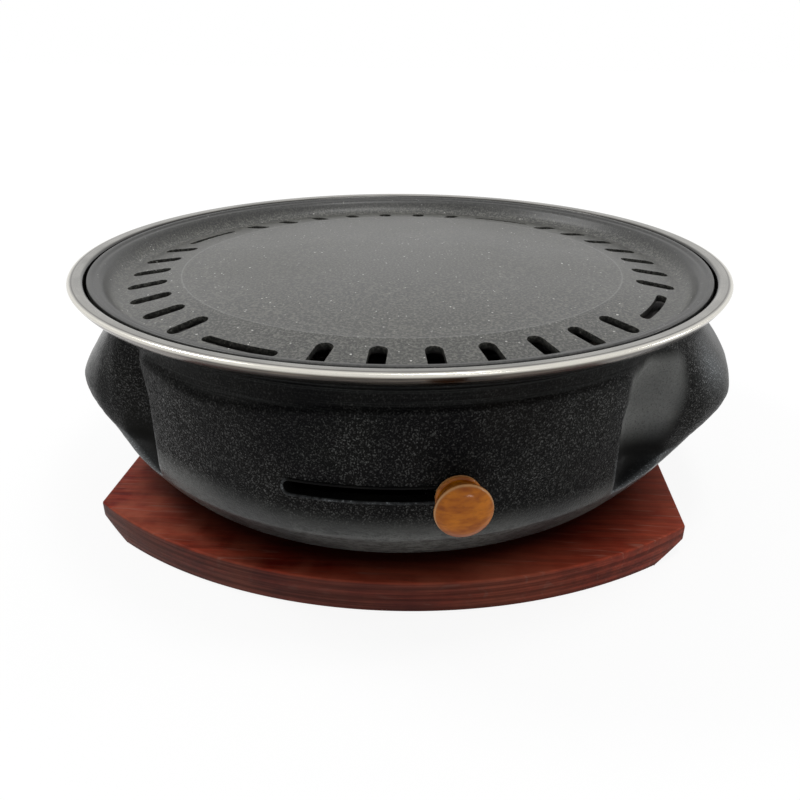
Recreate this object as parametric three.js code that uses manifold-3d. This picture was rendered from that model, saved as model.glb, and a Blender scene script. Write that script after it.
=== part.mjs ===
// A tabletop charcoal brazier: cast shell with scooped ears, slotted domed grill plate,
// stainless trim ring, liner with grate and turning air damper, on a bowed wooden tray.
// Millimetres, +Z up, front towards -Y, origin at the middle of the tray's underside.

import * as THREE from 'three';
import { mergeVertices } from 'three/addons/utils/BufferGeometryUtils.js';
import Module from 'manifold-3d';

const wasm = await Module();
wasm.setup();

const DEG = Math.PI / 180;

// ---- driving dimensions -------------------------------------------------------------

// Clearances
const SEAT_GAP = 0.3;            // between pieces that rest on each other
const FIT_GAP = 0.35;            // around pieces that pass through or fill a hole
const DROP_IN_GAP = 1.2;         // around pieces that are dropped in by hand
const RUN_GAP = 0.8;             // between the turning disc and the floor above it

// Tray
const TRAY_LENGTH = 285.6;
const TRAY_END_WIDTH = 181.6;    // across the straight short ends
const TRAY_MID_WIDTH = 287.2;    // across the bowed middle
const TRAY_THICK = 15.5;
const TRAY_RECESS_DEPTH = 3;
const TRAY_BEVEL_RUN = 15;       // undercut of the short ends, inwards
const TRAY_BEVEL_RISE = 7.5;     // and upwards

// Trim ring: the shell's upper part, the liner and the plate follow its edge
const RING_RADIUS = 167;
const RING_WIDTH = 16.2;         // from its bore to its edge
const RING_SHEET = 1.8;
const RING_RISE = 6.2;           // outer edge above the ledge's sheet
const RING_LIP_DROP = 2.5;
const RING_BEAD_WIDTH = 5.6;

// Shell
const FOOT_RADIUS = 118;
const FOOT_WIDTH = 13;
const SHELL_WALL = 5.5;
const FLOOR_THICK = 5.5;
const WALL_INSET = 17;           // straight front and back walls, inside the ring's edge
const NECK_INSET = 2.7;          // neck inside the wall
const LAND_WIDTH = 4.9;          // top land that the ring rests on
const SHELL_HEIGHT = 98.5;       // top land, above the shell's foot line
const NECK_HEIGHT = 12;          // from the wall's shoulder to the top land
const LIP_HEIGHT = 27.5;         // lip of the finger hollows, above the foot line
const EAR_REACH = 20;            // reach of the ears beyond the wall
const EAR_LEAN = 4.5;            // the casting's ears lean to the right at their top
const RIDGE_REACH = 10.3;        // ridge between hollow and ear, beyond the wall
const HOLLOW_DEPTH = 17.5;       // depth of the finger hollows under their brim
const LIP_RISE = 5;              // the lip climbs this much towards the ear
const EDGE_EASE = 1.2;           // softens the wall's edge towards the neck
const PANEL_ANGLE = 43;          // where the front wall ends
const RIDGE_ANGLE = 60;
const EAR_ANGLE = 73;
const LEDGE_DROP = 13;           // ledge that carries the liner, below the top land
const LEDGE_STEP = 10.6;         // from the top land's bore in to the ledge's
const LEDGE_WIDTH = 9;
const LEDGE_THICK = 6;
const POST_RADIUS = 9;

// Air slot and damper
const SLOT_HEIGHT = 6.6;
const SLOT_CENTRE = 47.6;          // above the foot line
const SLOT_HALF_ANGLE = 14.9;
const SLOT_RIM_WIDTH = 1.7;
const SLOT_RIM_PROUD = 0.8;
const DAMPER_RIM = 6;            // disc outside its openings
const DAMPER_THICK = 2.5;
const DAMPER_OPENINGS = 6;
const DAMPER_OPENING_ANGLE = 26;
const OPENING_INNER = 22;
const OPENING_OUTER = 60;
const OPENING_RADIUS_CORNER = 3;
const ARM_WIDTH = 14;
const ARM_THICK = 2.2;
const ARM_START = 29;
const ARM_TAB_INSET = 12.2;      // inner face of the upright tab, inside the wall
const ARM_TAB_RISE = 7;          // tab above the slot's middle
const ARM_BEND = 3;
const RIVET_RADIUS = 2;
const RIVET_PLACES = [36, 54];
const RIVET_HEAD_RADIUS = 3.6;
const RIVET_HEAD_THICK = 1.6;
const SHOULDER_RADIUS = 4;
const PIVOT_THREAD_RADIUS = 2.9;
const PIVOT_THREAD_LENGTH = 14;
const PIVOT_HEAD_RADIUS = 6.5;
const PIVOT_HEAD_THICK = 3;
const WASHER_RADIUS = 7.5;
const WASHER_THICK = 1;

// Knob
const KNOB_RADIUS = 11.8;
const KNOB_BASE_RADIUS = 9.5;
const KNOB_LENGTH = 12.8;
const SLEEVE_RADIUS = 2.8;
const KNOB_SCREW_RADIUS = 1.7;
const SCREW_HEAD_RADIUS = 4.2;
const SCREW_HEAD_THICK = 2.6;
const KNOB_WASHER_RADIUS = 5;
const KNOB_WASHER_THICK = 0.9;
const INSERT_RADIUS = 3.4;
const INSERT_LENGTH = 6.2;

// Liner and grate
const LINER_FLOOR = 32.2;        // underside of its floor, above the foot line
const LINER_FLOOR_THICK = 5;
const LINER_CLEARANCE = 5;       // inside the ledge it passes through
const LINER_FLOOR_RADIUS = 80;
const LINER_WALL = 5.5;
const LINER_FLANGE_THICK = 4;
const GRATE_RADIUS = 84;
const GRATE_THICK = 5;
const GRATE_LEG_HEIGHT = 8;
const GRATE_LEG_RADIUS = 4.5;
const GRATE_LEG_PLACE = 66;       // from the middle, on the outermost full bars
const GRATE_RIM_WIDTH = 9;
const GRATE_SLOT_WIDTH = 7;
const GRATE_SLOT_PITCH = 13;
const GRATE_SLOT_ROWS = 5;       // on each side of the middle row

// Grill plate
const PLATE_EDGE_GAP = 2.8;      // inside the ring's bead
const PLATE_THICK = 3;
const PLATE_BEAD_WIDTH = 7;
const PLATE_RIM_THICK = 5.3;
const CHANNEL_INSET = 13;        // channel inside the plate's edge
const CHANNEL_WIDTH = 4;
const CHANNEL_DROP = 9.3;        // channel below the rim's top
const CONE_WIDTH = 26.4;         // from the channel in to the crease
const CREASE_RISE = 3.6;         // above the channel
const DOME_RISE = 2.4;           // middle above the crease
const DRAIN_LENGTH = 19.2;
const DRAIN_WIDTH = 7.6;
const DRAIN_INSET = 0.3;         // inside the channel
const DRAIN_GROUPS = 4;
const DRAINS_PER_GROUP = 7;
const DRAIN_PITCH = 10;
const DRAIN_TURN = 20.2;         // the pattern's turn from the front
const LONG_DRAIN_INSET = 6.1;
const LONG_DRAIN_WIDTH = 5;
const LONG_DRAIN_ANGLE = 14;

// ---- places that follow from the dimensions -----------------------------------------

const footLine = TRAY_THICK;     // where the bowl leaves the tray's top
const footBottom = TRAY_THICK - TRAY_RECESS_DEPTH + SEAT_GAP;
const shellTop = footLine + SHELL_HEIGHT;
const ledgeTop = shellTop - LEDGE_DROP;
const ringBore = RING_RADIUS - RING_WIDTH;
const landInner = ringBore + RING_SHEET;
const landOuter = landInner + LAND_WIDTH;
const wallRadius = RING_RADIUS - WALL_INSET;
const neckRadius = wallRadius - NECK_INSET;
const ledgeBore = landInner - LEDGE_STEP;
const ledgeInner = ledgeBore - LEDGE_WIDTH;
const linerRadius = ledgeInner - LINER_CLEARANCE;
const slotZ = footLine + SLOT_CENTRE;
const floorTop = footLine + FLOOR_THICK + 1;
const linerFloor = footLine + LINER_FLOOR;
const discTop = linerFloor - RUN_GAP;
const discBottom = discTop - DAMPER_THICK;
const armTop = discBottom - 0.1;
const armBottom = armTop - ARM_THICK;
const washerTop = discBottom - SEAT_GAP;
const postTop = washerTop - WASHER_THICK - SEAT_GAP;
const slotEdgeRadius = wallRadius + SLOT_RIM_PROUD;
const sleeveHalfAngle = Math.asin(SLEEVE_RADIUS / wallRadius) / DEG;
const knobAngle = SLOT_HALF_ANGLE - sleeveHalfAngle - 1;
const knobBase = slotEdgeRadius + 0.4;
const tabInner = wallRadius - ARM_TAB_INSET;
const tabOuter = tabInner + ARM_THICK;
const ringSeat = shellTop + SEAT_GAP;
const ringLedge = ringSeat + RING_SHEET;
const ringEdge = ringLedge + RING_RISE - 1;
const plateRadius = RING_RADIUS - RING_BEAD_WIDTH - PLATE_EDGE_GAP;
const plateSeat = ringLedge + SEAT_GAP;
const plateTop = plateSeat + PLATE_RIM_THICK;
const channelOuter = plateRadius - CHANNEL_INSET;
const channelInner = channelOuter - CHANNEL_WIDTH;
const channelTop = plateTop - CHANNEL_DROP;
const creaseRadius = channelInner - CONE_WIDTH;
const creaseTop = channelTop + CREASE_RISE;

// ---- small tools --------------------------------------------------------------------

// A geometry as a solid for joining and cutting; its faces are turned outwards if needed.
function solid(geometry) {
  const bare = geometry.index ? geometry.toNonIndexed() : geometry.clone();
  bare.deleteAttribute('normal');
  bare.deleteAttribute('uv');
  const merged = mergeVertices(bare, 1e-4);
  const positions = new Float32Array(merged.attributes.position.array);
  const all = merged.index.array;
  const kept = [];
  for (let i = 0; i < all.length; i += 3) {
    const [a, b, c] = [all[i], all[i + 1], all[i + 2]];
    if (a !== b && b !== c && c !== a) kept.push(a, b, c);
  }
  if (signedVolume(positions, kept) < 0) kept.reverse();
  const mesh = new wasm.Mesh({
    numProp: 3,
    vertProperties: positions,
    triVerts: new Uint32Array(kept),
  });
  return new wasm.Manifold(mesh);
}

function signedVolume(p, index) {
  let six = 0;
  for (let i = 0; i < index.length; i += 3) {
    const [a, b, c] = [index[i] * 3, index[i + 1] * 3, index[i + 2] * 3];
    six += p[a] * (p[b + 1] * p[c + 2] - p[b + 2] * p[c + 1]);
    six -= p[a + 1] * (p[b] * p[c + 2] - p[b + 2] * p[c]);
    six += p[a + 2] * (p[b] * p[c + 1] - p[b + 1] * p[c]);
  }
  return six / 6;
}

function geometryOf(manifold) {
  const mesh = manifold.getMesh();
  const geometry = new THREE.BufferGeometry();
  geometry.setAttribute('position', new THREE.BufferAttribute(mesh.vertProperties, 3));
  geometry.setIndex(new THREE.BufferAttribute(mesh.triVerts, 1));
  geometry.computeVertexNormals();
  return geometry;
}

// A revolve about Z. The outline is a closed loop of [radius, height].
function revolve(outline, segments) {
  const loop = [...outline, outline[0]];
  const points = loop.map(([r, z]) => new THREE.Vector2(r, z));
  return new THREE.LatheGeometry(points, segments).rotateX(Math.PI / 2);
}

// A revolve whose outline starts and ends on the axis.
function turned(outline, segments) {
  const points = outline.map(([r, z]) => new THREE.Vector2(r, z));
  return new THREE.LatheGeometry(points, segments).rotateX(Math.PI / 2);
}

// A disc or short cylinder standing on z0.
function drum(radius, z0, z1, segments = 32) {
  return turned([[0, z0], [radius, z0], [radius, z1], [0, z1]], segments);
}

// A flat shape in XY raised from z0 to z1.
function slab(shape, z0, z1, curveSegments = 12) {
  const options = { depth: z1 - z0, bevelEnabled: false, curveSegments };
  return new THREE.ExtrudeGeometry(shape, options).translate(0, 0, z0);
}

// Angles on the brazier run from the front (-Y), positive towards +X.
function polar(radius, angle, z) {
  return [radius * Math.sin(angle * DEG), -radius * Math.cos(angle * DEG), z];
}

// Turns a geometry built on the front (-Y) line to its angle.
function turnTo(geometry, angle) {
  return geometry.rotateZ(angle * DEG);
}

// Smooth value between the given [place, value] pairs (monotone cubic).
function smoothThrough(pairs, place) {
  const n = pairs.length;
  if (place <= pairs[0][0]) return pairs[0][1];
  if (place >= pairs[n - 1][0]) return pairs[n - 1][1];
  let k = 0;
  while (place > pairs[k + 1][0]) k += 1;
  const slope = (i) => (pairs[i + 1][1] - pairs[i][1]) / (pairs[i + 1][0] - pairs[i][0]);
  const tangent = (i) => {
    if (i === 0) return slope(0);
    if (i === n - 1) return slope(n - 2);
    const [s0, s1] = [slope(i - 1), slope(i)];
    return s0 * s1 <= 0 ? 0 : (2 * s0 * s1) / (s0 + s1);
  };
  const h = pairs[k + 1][0] - pairs[k][0];
  const t = (place - pairs[k][0]) / h;
  const [y0, y1] = [pairs[k][1], pairs[k + 1][1]];
  const [m0, m1] = [tangent(k) * h, tangent(k + 1) * h];
  const t2 = t * t;
  const t3 = t2 * t;
  return y0 * (2 * t3 - 3 * t2 + 1) + m0 * (t3 - 2 * t2 + t) + y1 * (3 * t2 - 2 * t3) + m1 * (t3 - t2);
}

const mix = (a, b, t) => a + (b - a) * t;

// ---- tray ---------------------------------------------------------------------------

function trayOutline() {
  const halfLength = TRAY_LENGTH / 2;
  const halfEnd = TRAY_END_WIDTH / 2;
  const sagitta = (TRAY_MID_WIDTH - TRAY_END_WIDTH) / 2;
  const bow = (halfLength ** 2 + sagitta ** 2) / (2 * sagitta);
  const sweep = Math.asin(halfLength / bow);
  const centre = TRAY_MID_WIDTH / 2 - bow;
  const shape = new THREE.Shape();
  shape.moveTo(halfLength, -halfEnd);
  shape.absarc(0, centre, bow, Math.PI / 2 - sweep, Math.PI / 2 + sweep, false);
  shape.absarc(0, -centre, bow, -Math.PI / 2 - sweep, -Math.PI / 2 + sweep, false);
  return shape;
}

function trayGeometry() {
  let board = solid(slab(trayOutline(), 0, TRAY_THICK, 40));
  const recess = drum(FOOT_RADIUS + DROP_IN_GAP, TRAY_THICK - TRAY_RECESS_DEPTH, TRAY_THICK + 1, 72);
  board = board.subtract(solid(recess));
  for (const side of [-1, 1]) {
    const end = (side * TRAY_LENGTH) / 2;
    const wedge = new THREE.Shape();
    wedge.moveTo(end - side * TRAY_BEVEL_RUN, 0);
    wedge.lineTo(end, TRAY_BEVEL_RISE);
    wedge.lineTo(end + side, TRAY_BEVEL_RISE);
    wedge.lineTo(end + side, -1);
    wedge.lineTo(end - side * TRAY_BEVEL_RUN, -1);
    const cutter = slab(wedge, -TRAY_MID_WIDTH / 2, TRAY_MID_WIDTH / 2).rotateX(Math.PI / 2);
    board = board.subtract(solid(cutter));
  }
  return geometryOf(board);
}

// ---- cast shell ---------------------------------------------------------------------

// Heights are above the foot line. The wall runs from the lip to its shoulder, and the
// profiles place their points at shares of its height.
const shoulder = SHELL_HEIGHT - NECK_HEIGHT;
const wallHeight = shoulder - LIP_HEIGHT;
const rise = (share) => LIP_HEIGHT + wallHeight * share;

// Radii at shares of the way from the foot to the wall, or from the wall to ear or ridge.
const bowlAt = (share) => mix(FOOT_RADIUS, wallRadius, share);
const earAt = (share) => wallRadius + EAR_REACH * share;
const ridgeAt = (share) => wallRadius + RIDGE_REACH * share;

const neckProfile = [
  [shoulder, wallRadius],
  [shoulder + 1.6, wallRadius - 0.8],
  [shoulder + 2.6, neckRadius],
  [shoulder + 5, neckRadius],
  [SHELL_HEIGHT - 4.5, neckRadius + 3.7],
  [SHELL_HEIGHT - 1.8, landOuter - 1],
  [SHELL_HEIGHT - 1, landOuter],
  [SHELL_HEIGHT, landOuter],
];

// The bowl below the lip, from the foot outwards; the front wall stands on it.
const bowlProfile = [
  [0, FOOT_RADIUS],
  [LIP_HEIGHT * 0.09, bowlAt(0.187)],
  [LIP_HEIGHT * 0.22, bowlAt(0.39)],
  [LIP_HEIGHT * 0.4, bowlAt(0.587)],
  [LIP_HEIGHT * 0.6, bowlAt(0.744)],
  [LIP_HEIGHT * 0.8, bowlAt(0.875)],
  [LIP_HEIGHT, bowlAt(0.969)],
];

const frontProfile = [
  ...bowlProfile,
  [rise(0.136), wallRadius],
  ...neckProfile,
];

const earProfile = [
  ...bowlProfile.slice(0, -2),
  [LIP_HEIGHT * 0.8, earAt(0.03)],
  [LIP_HEIGHT, earAt(0.29)],
  [rise(0.127), earAt(0.575)],
  [rise(0.263), earAt(0.85)],
  [rise(0.38), earAt(1)],
  [rise(0.45), earAt(1.04)],
  [rise(0.54), earAt(0.97)],
  [rise(0.636), earAt(0.835)],
  [rise(0.72), earAt(0.68)],
  [rise(0.839), earAt(0.4)],
  [rise(0.924), earAt(0.22)],
  [shoulder, earAt(0.08)],
  [shoulder + 4, earAt(-0.05)],
  [shoulder + 5, neckRadius + 1.8],
  ...neckProfile.slice(4),
];

const ridgeProfile = [
  ...bowlProfile.slice(0, -2),
  [LIP_HEIGHT * 0.8, ridgeAt(-0.243)],
  [LIP_HEIGHT, ridgeAt(0.194)],
  [rise(0.076), ridgeAt(0.417)],
  [rise(0.229), ridgeAt(0.748)],
  [rise(0.398), ridgeAt(0.961)],
  [rise(0.525), ridgeAt(1)],
  [rise(0.686), ridgeAt(0.922)],
  [rise(0.856), ridgeAt(0.631)],
  [shoulder, ridgeAt(0.194)],
  [shoulder + 4, ridgeAt(-0.165)],
  [shoulder + 5, neckRadius + 0.8],
  ...neckProfile.slice(4),
];

// Depth of the finger hollow against height, as a share of its full depth.
const hollowRise = [
  [LIP_HEIGHT, 0],
  [LIP_HEIGHT + 0.8, 0.16],
  [LIP_HEIGHT + 2.4, 0.44],
  [rise(0.119), 0.78],
  [rise(0.263), 0.93],
  [rise(0.483), 1],
  [rise(0.703), 0.9],
  [rise(0.89), 0.58],
  [shoulder, 0.24],
  [shoulder + 4, 0.02],
  [shoulder + 5, 0],
];

// And its depth across, from the front wall's edge to the ridge.
const hollowSpan = [
  [0, 0.2],
  [0.06, 0.38],
  [0.18, 0.66],
  [0.3, 0.84],
  [0.42, 0.94],
  [0.53, 1],
  [0.65, 0.93],
  [0.76, 0.76],
  [0.86, 0.52],
  [0.94, 0.24],
  [1, 0],
];

const clamp01 = (value) => Math.min(1, Math.max(0, value));

// Radius of the shell's outer skin at an angle from the front and a height above the foot line.
function skinRadius(angle, height) {
  const fold = Math.abs(((angle + 540) % 360) - 180);
  const a = fold > 90 ? 180 - fold : fold;
  const front = smoothThrough(frontProfile, height);
  if (a <= PANEL_ANGLE) return front;
  const share = (height - LIP_HEIGHT) / wallHeight;
  const high = clamp01(share * 2 - 0.3) * clamp01((shoulder + 5 - height) / 5);
  const lean = high * EAR_LEAN * Math.sin(angle * DEG);
  const ear = smoothThrough(earProfile, height) + lean;
  const ridge = smoothThrough(ridgeProfile, height) + lean / 3;
  if (a >= EAR_ANGLE) return ear;
  if (a >= RIDGE_ANGLE) {
    const t = (a - RIDGE_ANGLE) / (EAR_ANGLE - RIDGE_ANGLE);
    return mix(ridge, ear, Math.sin((t * Math.PI) / 2));
  }
  const t = (a - PANEL_ANGLE) / (RIDGE_ANGLE - PANEL_ANGLE);
  const lift = LIP_RISE * t * t * clamp01(1 - share * 2);
  const across = smoothThrough(hollowSpan, t) ** (1 + EDGE_EASE * clamp01(share * 2 - 0.76));
  const depth = HOLLOW_DEPTH * smoothThrough(hollowRise, height - lift) * across;
  return mix(front, ridge, t) - depth;
}

// A closed skin through radii given at angles and heights, capped flat below and above.
function loftedSkin(angles, heights, radiusAt, base) {
  const positions = [];
  for (const h of heights) {
    for (const a of angles) positions.push(...polar(radiusAt(a, h), a, base + h));
  }
  const [n, rows] = [angles.length, heights.length];
  positions.push(0, 0, base + heights[0], 0, 0, base + heights[rows - 1]);
  const [low, high] = [n * rows, n * rows + 1];
  const index = [];
  for (let i = 0; i < n; i += 1) {
    const j = (i + 1) % n;
    index.push(low, j, i);
    index.push(high, (rows - 1) * n + i, (rows - 1) * n + j);
    for (let k = 0; k < rows - 1; k += 1) {
      const [a, b, c, d] = [k * n + i, k * n + j, (k + 1) * n + j, (k + 1) * n + i];
      index.push(a, b, c, a, c, d);
    }
  }
  const geometry = new THREE.BufferGeometry();
  geometry.setAttribute('position', new THREE.Float32BufferAttribute(positions, 3));
  geometry.setIndex(index);
  return geometry;
}

// The angles of one quarter, mirrored to the full round.
function allRound(quarter) {
  const half = [...quarter, ...quarter.slice(0, -1).reverse().map((a) => 180 - a)];
  const other = half.slice(1, -1).map((a) => a + 180);
  return [...half, ...other];
}

const skinAngles = allRound([
  0, 9, 18, 27, 36, PANEL_ANGLE,
  ...[0.03, 0.13, 0.26, 0.42, 0.6, 0.8].map((t) => mix(PANEL_ANGLE, RIDGE_ANGLE, t)),
  RIDGE_ANGLE, 63.5, 68, EAR_ANGLE, 81.5, 90,
]);
const skinHeights = [
  ...[0, 0.09, 0.22, 0.44, 0.69, 0.945, 1].map((share) => LIP_HEIGHT * share),
  LIP_HEIGHT + 0.8, LIP_HEIGHT + 2.4,
  ...[0.119, 0.263, 0.415, 0.568, 0.72, 0.856, 0.941, 1].map(rise),
  ...[1.6, 2.6, 5].map((step) => shoulder + step),
  ...[4.5, 1.8, 1, 0].map((step) => SHELL_HEIGHT - step),
];

// Radius of the cavity's wall: the skin less the wall, kept on the front wall's circle
// behind the ears, which are solid.
function cavityRadius(angle, height) {
  const skin = Math.min(skinRadius(angle, height), skinRadius(angle - 2.5, height));
  const near = Math.min(skin, skinRadius(angle + 2.5, height));
  return Math.min(near, wallRadius) - SHELL_WALL;
}

const cavityAngles = allRound([0, 12, 24, 34, 41, 45, 49, 53, 57, 62, 71, 80, 90]);

function shellCavity() {
  const floor = FLOOR_THICK + 1;
  const under = SHELL_HEIGHT - LEDGE_DROP - LEDGE_THICK;
  const low = [0.44, 0.73].map((share) => LIP_HEIGHT * share);
  const heights = [floor, ...low, LIP_HEIGHT + 2, rise(0.17), rise(0.65), under];
  const radiusAt = (a, h) => {
    const rounding = h === floor ? 4 : 0;
    return cavityRadius(a, h) - rounding;
  };
  const hollow = solid(loftedSkin(cavityAngles, heights, radiusAt, footLine));
  const bore = solid(turned([
    [0, footLine + under - 1],
    [ledgeInner, footLine + under - 1],
    [ledgeInner, ledgeTop],
    [ledgeBore, ledgeTop],
    [ledgeBore, ledgeTop + 4.5],
    [landInner, shellTop - 3.5],
    [landInner, shellTop + 1],
    [0, shellTop + 1],
  ], 72));
  return hollow.add(bore);
}

// A band through the front wall, round-ended, as tall as given and wrapped on the wall.
function slotBand(height, halfAngle, inner, outer) {
  const capAngle = Math.asin(height / 2 / wallRadius) / DEG;
  const reach = (halfAngle - capAngle) * DEG;
  const sector = new THREE.Shape();
  sector.absarc(0, 0, outer, -Math.PI / 2 - reach, -Math.PI / 2 + reach, false);
  sector.absarc(0, 0, inner, -Math.PI / 2 + reach, -Math.PI / 2 - reach, true);
  let band = solid(slab(sector, slotZ - height / 2, slotZ + height / 2, 10));
  for (const side of [-1, 1]) {
    const cap = new THREE.CylinderGeometry(height / 2, height / 2, outer - inner, 20);
    cap.translate(0, -(inner + outer) / 2, slotZ);
    band = band.add(solid(turnTo(cap, (side * reach) / DEG)));
  }
  return band;
}

function shellGeometry() {
  let body = solid(loftedSkin(skinAngles, skinHeights, skinRadius, footLine));
  const foot = revolve([
    [FOOT_RADIUS - FOOT_WIDTH, footBottom],
    [FOOT_RADIUS, footBottom],
    [FOOT_RADIUS, footLine + 0.5],
    [FOOT_RADIUS - FOOT_WIDTH, footLine + 0.5],
  ], 72);
  body = body.add(solid(foot));
  body = body.subtract(solid(drum(FOOT_RADIUS - FOOT_WIDTH, footLine - 1, footLine + 1, 72)));
  const rimHeight = SLOT_HEIGHT + 2 * SLOT_RIM_WIDTH;
  body = body.add(slotBand(rimHeight, SLOT_HALF_ANGLE + 0.65, wallRadius - 3, slotEdgeRadius));
  body = body.subtract(shellCavity());
  body = body.subtract(slotBand(SLOT_HEIGHT, SLOT_HALF_ANGLE, wallRadius - 12, wallRadius + 6));
  let post = solid(turned([
    [0, floorTop - 1],
    [POST_RADIUS + 5, floorTop - 1],
    [POST_RADIUS + 3, floorTop + 2.5],
    [POST_RADIUS, floorTop + 6],
    [POST_RADIUS, postTop],
    [0, postTop],
  ], 32));
  const bore = drum(PIVOT_THREAD_RADIUS + FIT_GAP, postTop - PIVOT_THREAD_LENGTH - 1, postTop + 1, 20);
  post = post.subtract(solid(bore));
  return geometryOf(body.add(post));
}

// ---- damper -------------------------------------------------------------------------

// One sector opening, centred on the front line, with rounded corners.
function sectorOpening(angle) {
  const half = DAMPER_OPENING_ANGLE / 2;
  const corner = OPENING_RADIUS_CORNER;
  const cornerOut = Math.asin(corner / (OPENING_OUTER - corner)) / DEG;
  const shape = new THREE.Shape();
  const mid = (a) => (a - 90) * DEG;
  const [lo, hi] = [angle - half, angle + half];
  const [ix, iy] = [OPENING_INNER * Math.cos(mid(lo)), OPENING_INNER * Math.sin(mid(lo))];
  shape.moveTo(ix, iy);
  const rimStart = mid(lo + cornerOut);
  const rimEnd = mid(hi - cornerOut);
  const edge = OPENING_OUTER - corner;
  shape.lineTo(edge * Math.cos(mid(lo)), edge * Math.sin(mid(lo)));
  shape.absarc(0, 0, OPENING_OUTER, rimStart, rimEnd, false);
  shape.lineTo(edge * Math.cos(mid(hi)), edge * Math.sin(mid(hi)));
  shape.lineTo(OPENING_INNER * Math.cos(mid(hi)), OPENING_INNER * Math.sin(mid(hi)));
  shape.absarc(0, 0, OPENING_INNER, mid(hi), mid(lo), true);
  return shape;
}

// Cuts the ring of sector openings; the first stands at the given angle from the front.
function cutOpenings(body, first, z0, z1) {
  let result = body;
  for (let i = 0; i < DAMPER_OPENINGS; i += 1) {
    const shape = sectorOpening(first + (i * 360) / DAMPER_OPENINGS);
    result = result.subtract(solid(slab(shape, z0, z1, 5)));
  }
  return result;
}

// The damper group is drawn with its knob on the front line and turned to rest at the end.
function damperDiscGeometry() {
  let disc = solid(drum(OPENING_OUTER + DAMPER_RIM, discBottom, discTop, 60));
  disc = disc.subtract(solid(drum(SHOULDER_RADIUS + FIT_GAP, discBottom - 1, discTop + 1, 24)));
  disc = cutOpenings(disc, 180 / DAMPER_OPENINGS, discBottom - 1, discTop + 1);
  for (const place of RIVET_PLACES) {
    const hole = drum(RIVET_RADIUS + FIT_GAP, discBottom - 1, discTop + 1, 16);
    disc = disc.subtract(solid(hole.translate(0, -place, 0)));
  }
  return geometryOf(disc);
}

function damperArmGeometry() {
  const tabTop = slotZ + ARM_TAB_RISE;
  const side = new THREE.Shape();
  const inner = ARM_BEND;
  const outer = ARM_BEND + ARM_THICK;
  side.moveTo(ARM_START, armBottom);
  side.lineTo(tabOuter - outer, armBottom);
  side.absarc(tabOuter - outer, armBottom + outer, outer, -Math.PI / 2, 0, false);
  side.lineTo(tabOuter, tabTop);
  side.lineTo(tabInner, tabTop);
  side.lineTo(tabInner, armTop + inner);
  side.absarc(tabInner - inner, armTop + inner, inner, 0, -Math.PI / 2, true);
  side.lineTo(ARM_START, armTop);
  const strip = slab(side, -ARM_WIDTH / 2, ARM_WIDTH / 2, 5).rotateX(Math.PI / 2).rotateZ(-Math.PI / 2);
  let arm = solid(strip);
  for (const place of RIVET_PLACES) {
    const hole = drum(RIVET_RADIUS + FIT_GAP, armBottom - 1, armTop + 1, 16);
    arm = arm.subtract(solid(hole.translate(0, -place, 0)));
  }
  const bore = KNOB_SCREW_RADIUS + FIT_GAP;
  const hole = new THREE.CylinderGeometry(bore, bore, 10, 16);
  arm = arm.subtract(solid(hole.translate(0, -tabInner, slotZ)));
  return geometryOf(arm);
}

function rivetGeometry(place) {
  const head = armBottom - 0.1;
  return turned([
    [0, head - RIVET_HEAD_THICK],
    [RIVET_HEAD_RADIUS * 0.6, head - RIVET_HEAD_THICK],
    [RIVET_HEAD_RADIUS, head - RIVET_HEAD_THICK * 0.4],
    [RIVET_HEAD_RADIUS, head],
    [RIVET_RADIUS, head],
    [RIVET_RADIUS, discTop],
    [0, discTop],
  ], 16).translate(0, -place, 0);
}

function pivotScrewGeometry() {
  const headBottom = discTop + SEAT_GAP;
  const headTop = headBottom + PIVOT_HEAD_THICK;
  const socket = PIVOT_HEAD_RADIUS * 0.42;
  const shoulderBottom = washerTop - WASHER_THICK;
  return turned([
    [0, postTop - PIVOT_THREAD_LENGTH],
    [PIVOT_THREAD_RADIUS, postTop - PIVOT_THREAD_LENGTH],
    [PIVOT_THREAD_RADIUS, shoulderBottom],
    [SHOULDER_RADIUS, shoulderBottom],
    [SHOULDER_RADIUS, headBottom],
    [PIVOT_HEAD_RADIUS, headBottom],
    [PIVOT_HEAD_RADIUS, headTop - 0.8],
    [PIVOT_HEAD_RADIUS - 0.8, headTop],
    [socket, headTop],
    [socket, headTop - 1.8],
    [0, headTop - 1.8],
  ], 24);
}

function pivotWasherGeometry() {
  const inner = SHOULDER_RADIUS + FIT_GAP;
  const outline = [[inner, washerTop - WASHER_THICK], [WASHER_RADIUS, washerTop - WASHER_THICK]];
  outline.push([WASHER_RADIUS, washerTop], [inner, washerTop]);
  return revolve(outline, 24);
}

// Pieces on the knob's own axis are turned about Z and then laid to point to the front.
function layOnSlot(geometry) {
  return geometry.rotateX(Math.PI / 2).translate(0, 0, slotZ);
}

function knobGeometry() {
  const r = KNOB_RADIUS;
  const b = KNOB_BASE_RADIUS;
  const t = KNOB_LENGTH;
  const bore = INSERT_RADIUS + FIT_GAP;
  const depth = INSERT_LENGTH + 0.6;
  return layOnSlot(turned([
    [0, knobBase + depth],
    [bore, knobBase + depth],
    [bore, knobBase],
    [b - 0.5, knobBase],
    [b, knobBase + 0.5],
    [b, knobBase + 2.5],
    [b - 0.8, knobBase + 2.9],
    [b - 0.3, knobBase + 3.6],
    [b, knobBase + 5.2],
    [r - 1.1, knobBase + 7],
    [r - 0.2, knobBase + 8.6],
    [r, knobBase + 9.8],
    [r - 0.5, knobBase + t - 1.6],
    [r - 1.6, knobBase + t - 0.8],
    [0, knobBase + t],
  ], 32));
}

function knobInsertGeometry() {
  const bore = KNOB_SCREW_RADIUS + FIT_GAP;
  const end = knobBase + INSERT_LENGTH;
  return layOnSlot(revolve([
    [bore, knobBase + 0.2],
    [INSERT_RADIUS, knobBase + 0.2],
    [INSERT_RADIUS, end],
    [bore, end],
  ], 20));
}

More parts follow.
